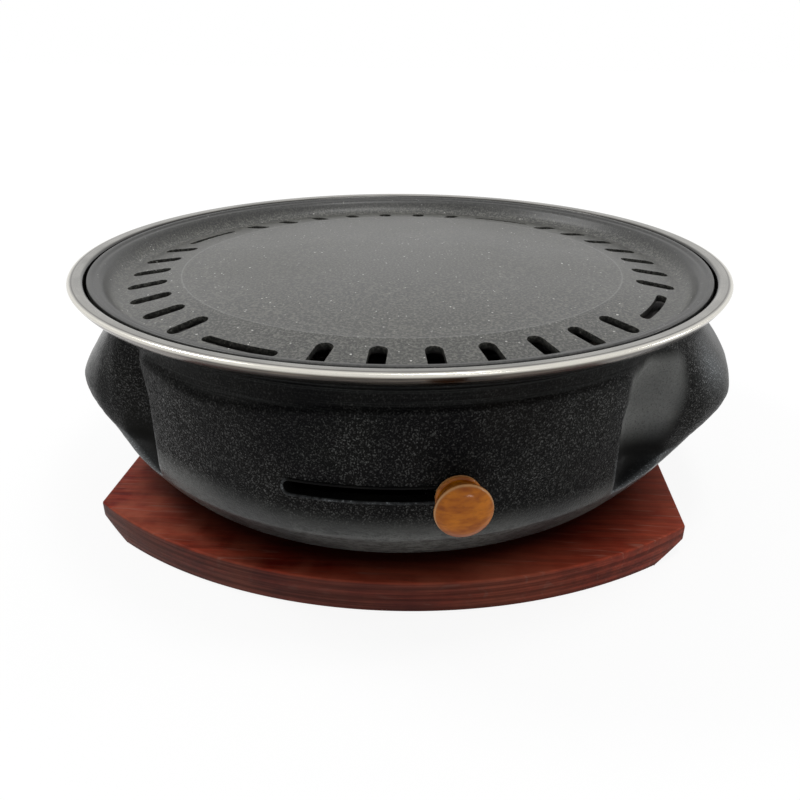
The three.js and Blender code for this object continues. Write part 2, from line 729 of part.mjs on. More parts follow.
function slotSleeveGeometry() {
  const bore = KNOB_SCREW_RADIUS + FIT_GAP;
  return layOnSlot(revolve([
    [bore, tabOuter + 0.1],
    [SLEEVE_RADIUS, tabOuter + 0.1],
    [SLEEVE_RADIUS, knobBase - 0.1],
    [bore, knobBase - 0.1],
  ], 20));
}

function knobWasherGeometry() {
  const bore = KNOB_SCREW_RADIUS + FIT_GAP;
  const face = tabInner - 0.1;
  return layOnSlot(revolve([
    [bore, face - KNOB_WASHER_THICK],
    [KNOB_WASHER_RADIUS, face - KNOB_WASHER_THICK],
    [KNOB_WASHER_RADIUS, face],
    [bore, face],
  ], 20));
}

function knobScrewGeometry() {
  const seat = tabInner - 0.2 - KNOB_WASHER_THICK;
  const head = seat - SCREW_HEAD_THICK;
  const socket = SCREW_HEAD_RADIUS * 0.4;
  return layOnSlot(turned([
    [0, head + 1.4],
    [socket, head + 1.4],
    [socket, head],
    [SCREW_HEAD_RADIUS - 0.9, head],
    [SCREW_HEAD_RADIUS, head + 0.9],
    [SCREW_HEAD_RADIUS, seat],
    [KNOB_SCREW_RADIUS, seat],
    [KNOB_SCREW_RADIUS, knobBase + INSERT_LENGTH - 0.6],
    [0, knobBase + INSERT_LENGTH - 0.6],
  ], 20));
}

// ---- liner and grate ----------------------------------------------------------------

function fireBowlGeometry() {
  const floorIn = linerFloor + LINER_FLOOR_THICK;
  const flangeBottom = ledgeTop + SEAT_GAP;
  const flangeTop = flangeBottom + LINER_FLANGE_THICK;
  const flangeEdge = ledgeBore - 1;
  const hub = PIVOT_HEAD_RADIUS + 4;
  const [wall, floor] = [LINER_WALL, LINER_FLOOR_RADIUS];
  const up = (share) => mix(linerFloor, flangeBottom, share);
  const out = (share) => mix(floor, linerRadius, share);
  let bowl = solid(revolve([
    [hub, linerFloor],
    [floor, linerFloor],
    [out(0.42), up(0.075)],
    [out(0.76), up(0.26)],
    [out(0.94), up(0.54)],
    [linerRadius, up(0.8)],
    [linerRadius, flangeBottom],
    [flangeEdge, flangeBottom],
    [flangeEdge, flangeTop],
    [linerRadius - wall, flangeTop],
    [linerRadius - wall, up(0.8)],
    [out(0.94) - wall, up(0.54)],
    [out(0.76) - wall, up(0.335)],
    [out(0.42) - wall, up(0.17)],
    [floor - wall, floorIn],
    [hub, floorIn],
  ], 56));
  bowl = cutOpenings(bowl, knobAngle, linerFloor - 1, floorIn + 1);
  return geometryOf(bowl);
}

function grateGeometry() {
  const legFoot = linerFloor + LINER_FLOOR_THICK + SEAT_GAP;
  const under = legFoot + GRATE_LEG_HEIGHT;
  const top = under + GRATE_THICK;
  let grate = solid(drum(GRATE_RADIUS, under, top, 56));
  const reach = GRATE_RADIUS - GRATE_RIM_WIDTH;
  for (let row = -GRATE_SLOT_ROWS; row <= GRATE_SLOT_ROWS; row += 1) {
    const y = row * GRATE_SLOT_PITCH;
    const half = Math.sqrt(reach ** 2 - y ** 2) - GRATE_SLOT_WIDTH / 2;
    const r = GRATE_SLOT_WIDTH / 2;
    const slot = new THREE.Shape();
    slot.absarc(half, y, r, -Math.PI / 2, Math.PI / 2, false);
    slot.absarc(-half, y, r, Math.PI / 2, (3 * Math.PI) / 2, false);
    grate = grate.subtract(solid(slab(slot, under - 1, top + 1, 4)));
  }
  const legY = (GRATE_SLOT_ROWS - 0.5) * GRATE_SLOT_PITCH;
  const legX = Math.sqrt(GRATE_LEG_PLACE ** 2 - legY ** 2);
  for (const [x, y] of [[legX, legY], [-legX, legY], [-legX, -legY], [legX, -legY]]) {
    const leg = turned([
      [0, legFoot],
      [GRATE_LEG_RADIUS - 1, legFoot],
      [GRATE_LEG_RADIUS, under + 0.5],
      [0, under + 0.5],
    ], 16);
    grate = grate.add(solid(leg.translate(x, y, 0)));
  }
  return geometryOf(grate);
}

// ---- trim ring ----------------------------------------------------------------------

function trimRingGeometry() {
  const R = RING_RADIUS;
  const flange = R - RING_BEAD_WIDTH;
  return revolve([
    [ringBore, ringSeat - RING_LIP_DROP],
    [ringBore + RING_SHEET - FIT_GAP, ringSeat - RING_LIP_DROP],
    [ringBore + RING_SHEET - FIT_GAP, ringSeat],
    [R - 8.2, ringSeat],
    [R - 4.8, ringSeat + 1.4],
    [R - 2.6, ringSeat + 3.4],
    [R, ringEdge],
    [R - 0.5, ringEdge + 0.9],
    [flange + 0.7, ringEdge + 1.1],
    [flange, ringEdge + 0.5],
    [flange - 0.9, ringLedge + 1.6],
    [flange - 2.6, ringLedge],
    [ringBore, ringLedge],
  ], 72);
}

// ---- grill plate --------------------------------------------------------------------

function grillPlateGeometry() {
  const bead = plateRadius - PLATE_BEAD_WIDTH;
  const under = PLATE_THICK;
  let plate = solid(turned([
    [0, creaseTop + DOME_RISE - under],
    [creaseRadius, creaseTop - under],
    [channelInner, channelTop - under],
    [channelOuter, channelTop - under],
    [bead - 4.8, channelTop - 0.8],
    [bead - 1.4, plateSeat],
    [plateRadius - 1.2, plateSeat],
    [plateRadius, plateSeat + 1.4],
    [plateRadius, plateTop - 1.4],
    [plateRadius - 1.6, plateTop],
    [bead + 1.6, plateTop],
    [bead - 0.2, plateTop - 1.4],
    [bead - 2, plateTop - 5.4],
    [channelOuter, channelTop],
    [channelInner, channelTop],
    [creaseRadius, creaseTop],
    [creaseRadius * 0.72, creaseTop + DOME_RISE * 0.52],
    [creaseRadius * 0.4, creaseTop + DOME_RISE * 0.85],
    [0, creaseTop + DOME_RISE],
  ], 72));
  const cutBottom = channelTop - under - 2;
  const cutTop = creaseTop + 3;
  const drainOuter = channelInner - DRAIN_INSET;
  const drainInner = drainOuter - DRAIN_LENGTH;
  const longRadius = channelInner - LONG_DRAIN_INSET;
  const r = DRAIN_WIDTH / 2;
  const lr = LONG_DRAIN_WIDTH / 2;
  const groupAngle = 360 / DRAIN_GROUPS;
  for (let g = 0; g < DRAIN_GROUPS; g += 1) {
    const middle = DRAIN_TURN + g * groupAngle;
    for (let k = 0; k < DRAINS_PER_GROUP; k += 1) {
      const slot = new THREE.Shape();
      slot.absarc(0, -(drainOuter - r), r, Math.PI, 2 * Math.PI, false);
      slot.absarc(0, -(drainInner + r), r, 0, Math.PI, false);
      const angle = middle + (k - (DRAINS_PER_GROUP - 1) / 2) * DRAIN_PITCH;
      plate = plate.subtract(solid(turnTo(slab(slot, cutBottom, cutTop, 3), angle)));
    }
    const half = (LONG_DRAIN_ANGLE / 2) * DEG;
    const long = new THREE.Shape();
    const at = -Math.PI / 2;
    const end = (side) => [
      longRadius * Math.cos(at + side * half),
      longRadius * Math.sin(at + side * half),
    ];
    long.absarc(0, 0, longRadius + lr, at - half, at + half, false);
    long.absarc(...end(1), lr, at + half, at + half + Math.PI, false);
    long.absarc(0, 0, longRadius - lr, at + half, at - half, true);
    long.absarc(...end(-1), lr, at - half + Math.PI, at - half + 2 * Math.PI, false);
    const between = middle - groupAngle / 2;
    plate = plate.subtract(solid(turnTo(slab(long, cutBottom, cutTop, 4), between)));
  }
  return geometryOf(plate);
}

// ---- materials and assembly ---------------------------------------------------------

const stainedWood = new THREE.MeshStandardMaterial({ color: 0x6b2f22, roughness: 0.45, metalness: 0 });
const blackCasting = new THREE.MeshStandardMaterial({ color: 0x1c1c1e, roughness: 0.42, metalness: 0.3 });
const greyCasting = new THREE.MeshStandardMaterial({ color: 0x3a3a3c, roughness: 0.7, metalness: 0.4 });
const stainless = new THREE.MeshStandardMaterial({ color: 0xd8d4ce, roughness: 0.16, metalness: 1 });
const coatedPlate = new THREE.MeshStandardMaterial({ color: 0x4a4a4c, roughness: 0.4, metalness: 0.2 });
const sheetSteel = new THREE.MeshStandardMaterial({ color: 0x8b8d8f, roughness: 0.4, metalness: 0.9 });
const amberWood = new THREE.MeshStandardMaterial({ color: 0xc8872f, roughness: 0.3, metalness: 0 });
const brass = new THREE.MeshStandardMaterial({ color: 0xb8964e, roughness: 0.35, metalness: 1 });

const brazier = new THREE.Group();

function place(name, geometry, material, parent = brazier) {
  const mesh = new THREE.Mesh(geometry, material);
  mesh.name = name;
  parent.add(mesh);
  return mesh;
}

place('wooden_tray', trayGeometry(), stainedWood);
place('cast_shell', shellGeometry(), blackCasting);
place('pivot_screw', pivotScrewGeometry(), sheetSteel);
place('pivot_washer', pivotWasherGeometry(), sheetSteel);

const damper = new THREE.Group();
damper.rotation.z = knobAngle * DEG;
brazier.add(damper);
place('damper_disc', damperDiscGeometry(), sheetSteel, damper);
place('damper_arm', damperArmGeometry(), sheetSteel, damper);
place('arm_rivet_inner', rivetGeometry(RIVET_PLACES[0]), sheetSteel, damper);
place('arm_rivet_outer', rivetGeometry(RIVET_PLACES[1]), sheetSteel, damper);
place('knob_screw', knobScrewGeometry(), sheetSteel, damper);
place('knob_washer', knobWasherGeometry(), sheetSteel, damper);
place('slot_sleeve', slotSleeveGeometry(), sheetSteel, damper);
place('knob_insert', knobInsertGeometry(), brass, damper);
place('wooden_knob', knobGeometry(), amberWood, damper);

place('fire_bowl', fireBowlGeometry(), greyCasting);
place('charcoal_grate', grateGeometry(), greyCasting);
place('trim_ring', trimRingGeometry(), stainless);
place('grill_plate', grillPlateGeometry(), coatedPlate);

export default brazier;
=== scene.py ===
"""Looks of a round tabletop charcoal brazier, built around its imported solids."""

import math
from functools import reduce

import bmesh
import bpy
import numpy as np
from mathutils import Matrix, Vector, noise


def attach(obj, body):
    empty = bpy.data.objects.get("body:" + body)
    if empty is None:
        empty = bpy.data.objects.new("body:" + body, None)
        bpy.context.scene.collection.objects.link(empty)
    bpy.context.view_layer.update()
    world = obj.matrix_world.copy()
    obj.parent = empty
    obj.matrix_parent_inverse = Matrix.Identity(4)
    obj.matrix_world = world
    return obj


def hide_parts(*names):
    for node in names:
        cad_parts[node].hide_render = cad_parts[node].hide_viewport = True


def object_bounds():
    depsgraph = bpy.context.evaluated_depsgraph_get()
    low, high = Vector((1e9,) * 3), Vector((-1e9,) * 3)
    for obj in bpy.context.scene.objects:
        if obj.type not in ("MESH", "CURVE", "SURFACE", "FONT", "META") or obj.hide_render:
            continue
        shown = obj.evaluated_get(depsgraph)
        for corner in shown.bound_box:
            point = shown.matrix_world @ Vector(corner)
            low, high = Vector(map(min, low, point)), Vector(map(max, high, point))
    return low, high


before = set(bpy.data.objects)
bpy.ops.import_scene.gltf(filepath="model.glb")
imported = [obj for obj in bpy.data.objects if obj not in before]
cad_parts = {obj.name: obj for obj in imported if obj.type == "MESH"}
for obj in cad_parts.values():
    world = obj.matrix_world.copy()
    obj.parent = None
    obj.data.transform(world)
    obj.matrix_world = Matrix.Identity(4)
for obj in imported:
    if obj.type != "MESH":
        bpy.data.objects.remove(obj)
cad_low, cad_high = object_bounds()

MM = 0.001

# ---- sizes in millimetres and angles in degrees, as on the solids --------------------

TRAY_LENGTH = 285.6
TRAY_END_WIDTH = 181.6
TRAY_MID_WIDTH = 287.2
TRAY_THICK = 15.5
TRAY_RECESS_DEPTH = 3.0
TRAY_RECESS_RADIUS = 119.2
TRAY_BEVEL_RUN = 15.0
TRAY_BEVEL_RISE = 7.5

FOOT_LINE = TRAY_THICK
FOOT_BOTTOM = 12.8
FOOT_RADIUS = 118.0
FOOT_INNER = 105.0
WALL_RADIUS = 150.0
SHELL_WALL = 5.5
LIP_HEIGHT = 27.5
SHOULDER = 86.5
NECK_RADIUS = 147.3
SHELL_HEIGHT = 98.5
TOP_LAND_INNER = 152.6
TOP_LAND_OUTER = 157.5
EAR_REACH = 20.0
EAR_LEAN = 4.5
RIDGE_REACH = 10.3
HOLLOW_DEPTH = 17.5
LIP_RISE = 5.0
PANEL_ANGLE = 43.0
RIDGE_ANGLE = 60.0
EAR_ANGLE = 73.0
LEDGE_HEIGHT = 85.5
LEDGE_INNER = 133.0
LEDGE_THICK = 6.0
LEDGE_BORE = 142.0
CAVITY_RADIUS = 144.5
FLOOR_TOP = 6.5
POST_RADIUS = 9.0
POST_TOP = 42.8
POST_BORE = 3.25
POST_BORE_END = 12.0
FOOT_HOLLOW = 1.0

SLOT_Z = 63.1
SLOT_HALF_ANGLE = 14.9
KNOB_ANGLE = 12.83
KNOB_BASE = 151.2
KNOB_RADIUS = 11.8
KNOB_BASE_RADIUS = 9.5
KNOB_LENGTH = 15.2

LINER_RADIUS = 128.0
LINER_FLANGE = 141.0
LINER_FLOOR = 47.7
LINER_TOP = 105.3
LINER_BORE = 10.5
AIR_INNER = 22.0
AIR_OUTER = 60.0
AIR_HALF_ANGLE = 13.0
GRATE_RADIUS = 84.0
GRATE_BOTTOM = 61.0
GRATE_TOP = 66.0
GRATE_MARGIN = 9.0
GRATE_SLOT = 7.0
GRATE_PITCH = 13.0
LEG_CIRCLE = 66.0
LEG_ROW = 58.5
LEG_BOTTOM = 53.0

RING_SEAT = 114.3
RING_RADIUS = 167.0
RING_BORE = 150.8
RING_LIP = 111.8
RING_LEDGE = 116.1
PLATE_RADIUS = 158.6
PLATE_SEAT = 116.4
PLATE_TOP = 121.7
CHANNEL_TOP = 112.4
CREASE_TOP = 116.0
CREASE_RADIUS = 115.2
DOME_RISE = 2.4
PLATE_THICK = 3.0
CHANNEL_EDGE = 141.8
CHANNEL_RADIUS = 145.4
DRAIN_FROM = 125.9
DRAIN_TO = 137.5
DRAIN_HALF_WIDTH = 3.8
LONG_DRAIN_RADIUS = 135.5
LONG_DRAIN_HALF_WIDTH = 2.5
LONG_DRAIN_HALF_ANGLE = 7.0

# ---- sizes that only the scene has: finer shapes, and where finishes change ----------

SLOT_HEIGHT = 6.1
SLOT_LEFT_ANGLE = 14.1
SLOT_CUT = (138.0, 156.0)
BEAD_THICK = 0.6
BEAD_GAP = 0.9
SHOULDER_LINE = 84.0
SHOULDER_DIP = 5.6
DIP_ANGLE = -27.0
HOLLOW_CORNER_SHARE = 0.13
HOLLOW_CORNER_HEIGHT = 7.0
HOLLOW_TOP_EASE = 2.4
EAR_TIP_START = 158.0
WAVES = ((0.045, 0.3), (0.13, 0.12))
KNOBBLES = ((0.42, 0.2), (0.85, 0.14))
PEBBLE_LIMIT = 0.45
NECK_LINES_FROM = 92.0
NECK_LINES_FULL = 98.0
RIPPLES_FULL = 40.0
RIPPLES_END = 54.0
RING_DARK_LINE = 164.8
RING_INNER_FACE = 160.3
LOWER_REFLECTION_TOP = 120.4
DRAIN_CUT = (106.0, 122.0)
PAINTED_LIGHT_SPAN = (-0.14, 0.12)


# ---- meshes --------------------------------------------------------------------------

def mesh_piece(name, points, faces, crease=32.0):
    """A piece from points in millimetres, smooth but for edges sharper than crease."""
    mesh = bpy.data.meshes.new(name)
    scaled = np.asarray(points, dtype=float) * MM
    mesh.from_pydata(scaled.tolist(), [], faces)
    mesh.update()
    mesh.shade_smooth()
    mesh.set_sharp_from_angle(angle=math.radians(crease))
    piece = bpy.data.objects.new(name, mesh)
    bpy.context.scene.collection.objects.link(piece)
    return piece


def face_outwards(piece):
    """Turns the faces of a closed piece outwards."""
    work = bmesh.new()
    work.from_mesh(piece.data)
    bmesh.ops.recalc_face_normals(work, faces=work.faces)
    if work.calc_volume(signed=True) < 0:
        bmesh.ops.reverse_faces(work, faces=work.faces)
    work.to_mesh(piece.data)
    work.free()
    return piece


def store(piece, name, values):
    """Keeps one value per point on the piece, for its material."""
    piece.data.attributes.new(name, "FLOAT", "POINT").data.foreach_set("value", values)


def around(angle, radius, height):
    """Points at angles in degrees from the front, with their radii and heights."""
    turn, radius, height = np.broadcast_arrays(np.radians(angle), radius, height)
    return np.stack((radius * np.sin(turn), -radius * np.cos(turn), height), axis=-1)


def band_faces(low, high):
    """Quads between two closed rows of point numbers."""
    return list(zip(low, low[1:] + low[:1], high[1:] + high[:1], high))


def rounded(corners, steps=5):
    """An outline whose corners (radius, height, rounding) are drawn as short curves."""
    line = []
    count = len(corners)
    for i, corner in enumerate(corners):
        here = np.array(corner[:2], dtype=float)
        size = corner[2] if len(corner) > 2 else 0.0
        before = np.array(corners[i - 1][:2], dtype=float)
        after = np.array(corners[(i + 1) % count][:2], dtype=float)
        back, ahead = np.linalg.norm(before - here), np.linalg.norm(after - here)
        size = min(size, 0.48 * back, 0.48 * ahead)
        if size < 1e-3:
            line.append(tuple(here))
            continue
        start = here + (before - here) / back * size
        end = here + (after - here) / ahead * size
        for k in range(steps + 1):
            t = k / steps
            point = (1 - t) ** 2 * start + 2 * t * (1 - t) * here + t ** 2 * end
            line.append(tuple(point))
    return line


def revolved(name, outline, segments=256, closed=True, crease=32.0):
    """A revolve about Z; the outline closes on itself, or starts and ends on the axis."""
    points, rows = [], []
    for r, z in outline:
        if r < 1e-6:
            rows.append([len(points)])
            points.append((0, 0, z))
            continue
        turn = np.arange(segments) / segments * 2 * math.pi
        rows.append(list(range(len(points), len(points) + segments)))
        points.extend(np.column_stack((r * np.sin(turn), -r * np.cos(turn), np.full(segments, z))))
    pairs = list(zip(rows, rows[1:] + rows[:1])) if closed else list(zip(rows, rows[1:]))
    faces = []
    for low, high in pairs:
        if len(low) > 1 and len(high) > 1:
            faces += band_faces(low, high)
        elif len(high) > 1:
            faces += [(low[0], after, here) for here, after in zip(high, high[1:] + high[:1])]
        elif len(low) > 1:
            faces += [(here, after, high[0]) for here, after in zip(low, low[1:] + low[:1])]
    return face_outwards(mesh_piece(name, points, faces, crease))


def prism(name, outline, low, high):
    """A flat outline in XY raised from low to high."""
    n = len(outline)
    points = [(x, y, low) for x, y in outline] + [(x, y, high) for x, y in outline]
    faces = [tuple(reversed(range(n))), tuple(range(n, 2 * n))]
    faces += band_faces(list(range(n)), list(range(n, 2 * n)))
    return face_outwards(mesh_piece(name, points, faces))


def settle(piece):
    """Applies the piece's modifiers and leaves a plain mesh."""
    graph = bpy.context.evaluated_depsgraph_get()
    mesh = bpy.data.meshes.new_from_object(piece.evaluated_get(graph))
    piece.modifiers.clear()
    old = piece.data
    piece.data = mesh
    bpy.data.meshes.remove(old)
    return piece


def cut(piece, cutter):
    """Cuts one piece by another, which is used up."""
    modifier = piece.modifiers.new("cut", "BOOLEAN")
    modifier.operation = "DIFFERENCE"
    modifier.solver = "EXACT"
    modifier.object = cutter
    settle(piece)
    bpy.data.objects.remove(cutter, do_unlink=True)
    return piece


def soften(piece, width, angle=40.0, segments=2):
    """Rounds the piece's sharp edges."""
    modifier = piece.modifiers.new("soften", "BEVEL")
    modifier.width = width * MM
    modifier.segments = segments
    modifier.limit_method = "ANGLE"
    modifier.angle_limit = math.radians(angle)
    settle(piece)
    piece.data.shade_smooth()
    piece.data.set_sharp_from_angle(angle=math.radians(38))
    return piece


def arc(cx, cy, radius, start, end, steps):
    """Points of an arc in XY, angles in degrees."""
    turn = np.radians(np.linspace(start, end, steps + 1))
    return [(cx + radius * math.cos(a), cy + radius * math.sin(a)) for a in turn]


# ---- node trees ----------------------------------------------------------------------

class Recipe:
    """A node tree being filled: each call adds a node and gives back its result."""

    def __init__(self, tree):
        self.tree = tree

    def feed(self, socket, value):
        """Links a result into the socket, or sets a plain number, vector or colour on it."""
        if isinstance(value, bpy.types.NodeSocket):
            self.tree.links.new(value, socket)
        elif socket.type == "RGBA" and len(value) == 3:
            socket.default_value = (*value, 1.0)
        else:
            socket.default_value = value

    def node(self, kind, inputs=None, **settings):
        """A node with its settings, and its inputs fed by name or number."""
        made = self.tree.nodes.new(kind)
        for label, value in settings.items():
            setattr(made, label, value)
        for key, value in (inputs or {}).items():
            self.feed(made.inputs[key], value)
        return made

    def maths(self, operation, *values):
        return self.node("ShaderNodeMath", dict(enumerate(values)), operation=operation).outputs[0]

    def product(self, *values):
        return reduce(lambda first, second: self.maths("MULTIPLY", first, second), values)

    def total(self, first, second):
        return self.maths("ADD", first, second)

    def vector(self, operation, *values):
        """A Vector Math node."""
        return self.node("ShaderNodeVectorMath", dict(enumerate(values)), operation=operation)

    def stretched(self, where, factors):
        """Coordinates multiplied by three factors."""
        return self.vector("MULTIPLY", where, factors).outputs[0]

    def apart(self, where):
        """The coordinates x, y and z by themselves."""
        return tuple(self.node("ShaderNodeSeparateXYZ", {0: where}).outputs)

    def from_axis(self, where):
        """The distance from the Z axis."""
        return self.vector("LENGTH", self.stretched(where, (1.0, 1.0, 0.0))).outputs["Value"]

    def noise(self, where, scale, detail=2.0, roughness=0.5, result="Fac", **more):
        """A Noise Texture at these coordinates."""
        inputs = {"Vector": where, "Scale": scale, "Detail": detail, "Roughness": roughness, **more}
        return self.node("ShaderNodeTexNoise", inputs).outputs[result]

    def remap(self, value, low, high, out_low=0.0, out_high=1.0):
        """A clamped Map Range."""
        inputs = {"Value": value, "From Min": low, "From Max": high, "To Min": out_low, "To Max": out_high}
        return self.node("ShaderNodeMapRange", inputs).outputs["Result"]

    def blend(self, share, first, second):
        """A mix of two colours."""
        return self.node("ShaderNodeMix", {0: share, 6: first, 7: second}, data_type="RGBA").outputs[2]


def round_pattern():
    """Copies of a piece on the front line, turned about Z in even groups."""
    n = Recipe(bpy.data.node_groups.new("round_pattern", "GeometryNodeTree"))
    for label, kind in (("Piece", "Geometry"), ("Groups", "Int"), ("Per Group", "Int"), ("Pitch", "Float"),
                        ("Turn", "Float"), ("Finish", "Material")):
        n.tree.interface.new_socket(label, in_out="INPUT", socket_type="NodeSocket" + kind)
    n.tree.interface.new_socket("Pattern", in_out="OUTPUT", socket_type="NodeSocketGeometry")
    given = n.node("NodeGroupInput").outputs
    groups, per_group = given["Groups"], given["Per Group"]
    index = n.node("GeometryNodeInputIndex").outputs[0]
    group = n.maths("FLOOR", n.maths("DIVIDE", index, per_group))
    member = n.maths("SUBTRACT", index, n.product(group, per_group))
    middle = n.maths("DIVIDE", n.maths("SUBTRACT", per_group, 1.0), 2.0)
    offset = n.product(n.maths("SUBTRACT", member, middle), given["Pitch"])
    group_turn = n.product(group, n.maths("DIVIDE", 360.0, groups))
    angle = n.maths("RADIANS", n.total(n.total(offset, group_turn), given["Turn"]))
    turn = n.node("ShaderNodeCombineXYZ", {"Z": angle}).outputs[0]
    points = n.node("GeometryNodePoints", {"Count": n.product(groups, per_group)}).outputs[0]
    copies = n.node("GeometryNodeInstanceOnPoints",
                    {"Points": points, "Instance": given["Piece"], "Rotation": turn}).outputs[0]
    real = n.node("GeometryNodeRealizeInstances", {0: copies}).outputs[0]
    paint = n.node("GeometryNodeSetMaterial", {"Geometry": real, "Material": given["Finish"]}).outputs[0]
    n.node("NodeGroupOutput", {0: paint})
    return n.tree


ROUND_PATTERN = round_pattern()


def set_round(piece, groups, per_group, pitch, turn, finish):
    """Repeats the piece round the axis and leaves a plain mesh."""
    modifier = piece.modifiers.new("pattern", "NODES")
    modifier.node_group = ROUND_PATTERN
    values = {"Groups": groups, "Per Group": per_group, "Pitch": pitch, "Turn": turn, "Finish": finish}
    for item in ROUND_PATTERN.interface.items_tree:
        if item.in_out == "INPUT" and item.name in values:
            modifier[item.identifier] = values[item.name]
    return settle(piece)


# ---- shader groups -------------------------------------------------------------------

class Effect(Recipe):
    """A shader group being filled: it takes coordinates and sizes, and puts out values."""

    def __init__(self, name, results, **sizes):
        super().__init__(bpy.data.node_groups.new(name, "ShaderNodeTree"))
        sockets = self.tree.interface
        sockets.new_socket("Where", in_out="INPUT", socket_type="NodeSocketVector")
        for label, value in sizes.items():
            size = sockets.new_socket(label.replace("_", " "), in_out="INPUT", socket_type="NodeSocketFloat")
            size.default_value = value
        for label in results:
            sockets.new_socket(label, in_out="OUTPUT", socket_type="NodeSocketFloat")
        self.given = self.node("NodeGroupInput").outputs
        self.results = self.node("NodeGroupOutput").inputs

    def per_metre(self, label):
        """A texture scale from one of the group's sizes in millimetres."""
        return self.maths("DIVIDE", 1 / MM, self.given[label])

    def done(self, *values):
        """Puts the values out in the order of the results."""
        for socket, value in zip(self.results, values):
            self.feed(socket, value)
        return self.tree


def cast_skin():
    """Rough cast skin: pebbled relief, a mask of its peaks, a patchy tone and roughness."""
    n = Effect("cast_skin", ("Height", "Peaks", "Tone", "Sheen Roughness"),
               Pebble_Size=2.6, Grain_Size=0.9, Roughness=0.4)
    where = n.given["Where"]
    bend = n.noise(where, 320.0, result="Color")
    bent = n.vector("MULTIPLY_ADD", bend, (0.003, 0.003, 0.003), where).outputs[0]
    cells = n.node("ShaderNodeTexVoronoi", {"Vector": bent, "Scale": n.per_metre("Pebble Size"), "Smoothness": 0.8},
                   feature="SMOOTH_F1")
    tops = n.maths("SUBTRACT", 1.0, cells.outputs["Distance"])
    grain = n.noise(where, n.per_metre("Grain Size"), 3.0, 0.6)
    wide = n.noise(where, 26.0, 3.0)
    height = n.total(n.product(tops, 0.6), grain)
    tone = n.total(n.product(wide, 0.7), n.product(grain, 0.3))
    rough = n.total(n.given["Roughness"], n.remap(wide, 0.3, 0.7, -0.07, 0.09))
    return n.done(height, n.remap(height, 0.84, 1.20), tone, rough)


def timber_grain():
    """Grain that runs along X: growth bands, long fibres and rubbed patches."""
    n = Effect("timber_grain", ("Band", "Fibre", "Patch"), Band_Size=4.0)
    where = n.given["Where"]
    sway = n.noise(where, 14.0, result="Color")
    swayed = n.vector("MULTIPLY_ADD", sway, (0.0, 0.006, 0.004), n.stretched(where, (0.045, 1.0, 1.0))).outputs[0]
    bands = n.noise(swayed, n.per_metre("Band Size"))
    fibres = n.noise(swayed, 1400.0, 3.0, 0.6)
    patch = n.noise(where, 19.0, 4.0, 0.62)
    return n.done(n.remap(bands, 0.34, 0.66), fibres, n.remap(patch, 0.35, 0.7))


def pale_specks():
    """Sparse pale specks of mixed size."""
    n = Effect("specks", ("Mask",), Spacing=3.0, Speck_Size=0.2, Share=0.3)
    cells = n.node("ShaderNodeTexVoronoi", {"Vector": n.given["Where"], "Scale": n.per_metre("Spacing")}).outputs
    chance, width, strength = n.node("ShaderNodeSeparateColor", {0: cells["Color"]}).outputs
    inside = n.maths("LESS_THAN", cells["Distance"], n.product(n.given["Speck Size"], width))
    return n.done(n.product(inside, n.maths("LESS_THAN", chance, n.given["Share"]), strength))


CAST_SKIN = cast_skin()
TIMBER_GRAIN = timber_grain()
SPECKS = pale_specks()


# ---- materials -----------------------------------------------------------------------

class Finish(Recipe):
    """A material being filled, with the piece's own coordinates at hand."""

    def __init__(self, name):
        self.material = bpy.data.materials.new(name)
        self.material.use_nodes = True
        super().__init__(self.material.node_tree)
        self.shader = self.tree.nodes["Principled BSDF"]
        self.where = self.node("ShaderNodeTexCoord").outputs["Object"]

    def use(self, group, **sizes):
        """A shader group's results, in the order it puts them out."""
        made = self.node("ShaderNodeGroup", node_tree=group)
        self.feed(made.inputs["Where"], self.where)
        for label, value in sizes.items():
            self.feed(made.inputs[label.replace("_", " ")], value)
        return tuple(made.outputs)

    def bump(self, height, depth, under=None):
        """A Bump node of this depth in millimetres."""
        made = self.node("ShaderNodeBump", {"Distance": depth * MM, "Strength": 1.0, "Height": height})
        if under is not None:
            self.feed(made.inputs["Normal"], under)
        return made.outputs["Normal"]

    def stored(self, name):
        """A value kept on the piece's points."""
        return self.node("ShaderNodeAttribute", attribute_name=name).outputs["Fac"]

    def done(self, **inputs):
        """Feeds the shader's own inputs and returns the material."""
        for label, value in inputs.items():
            self.feed(self.shader.inputs[label.replace("_", " ")], value)
        return self.material


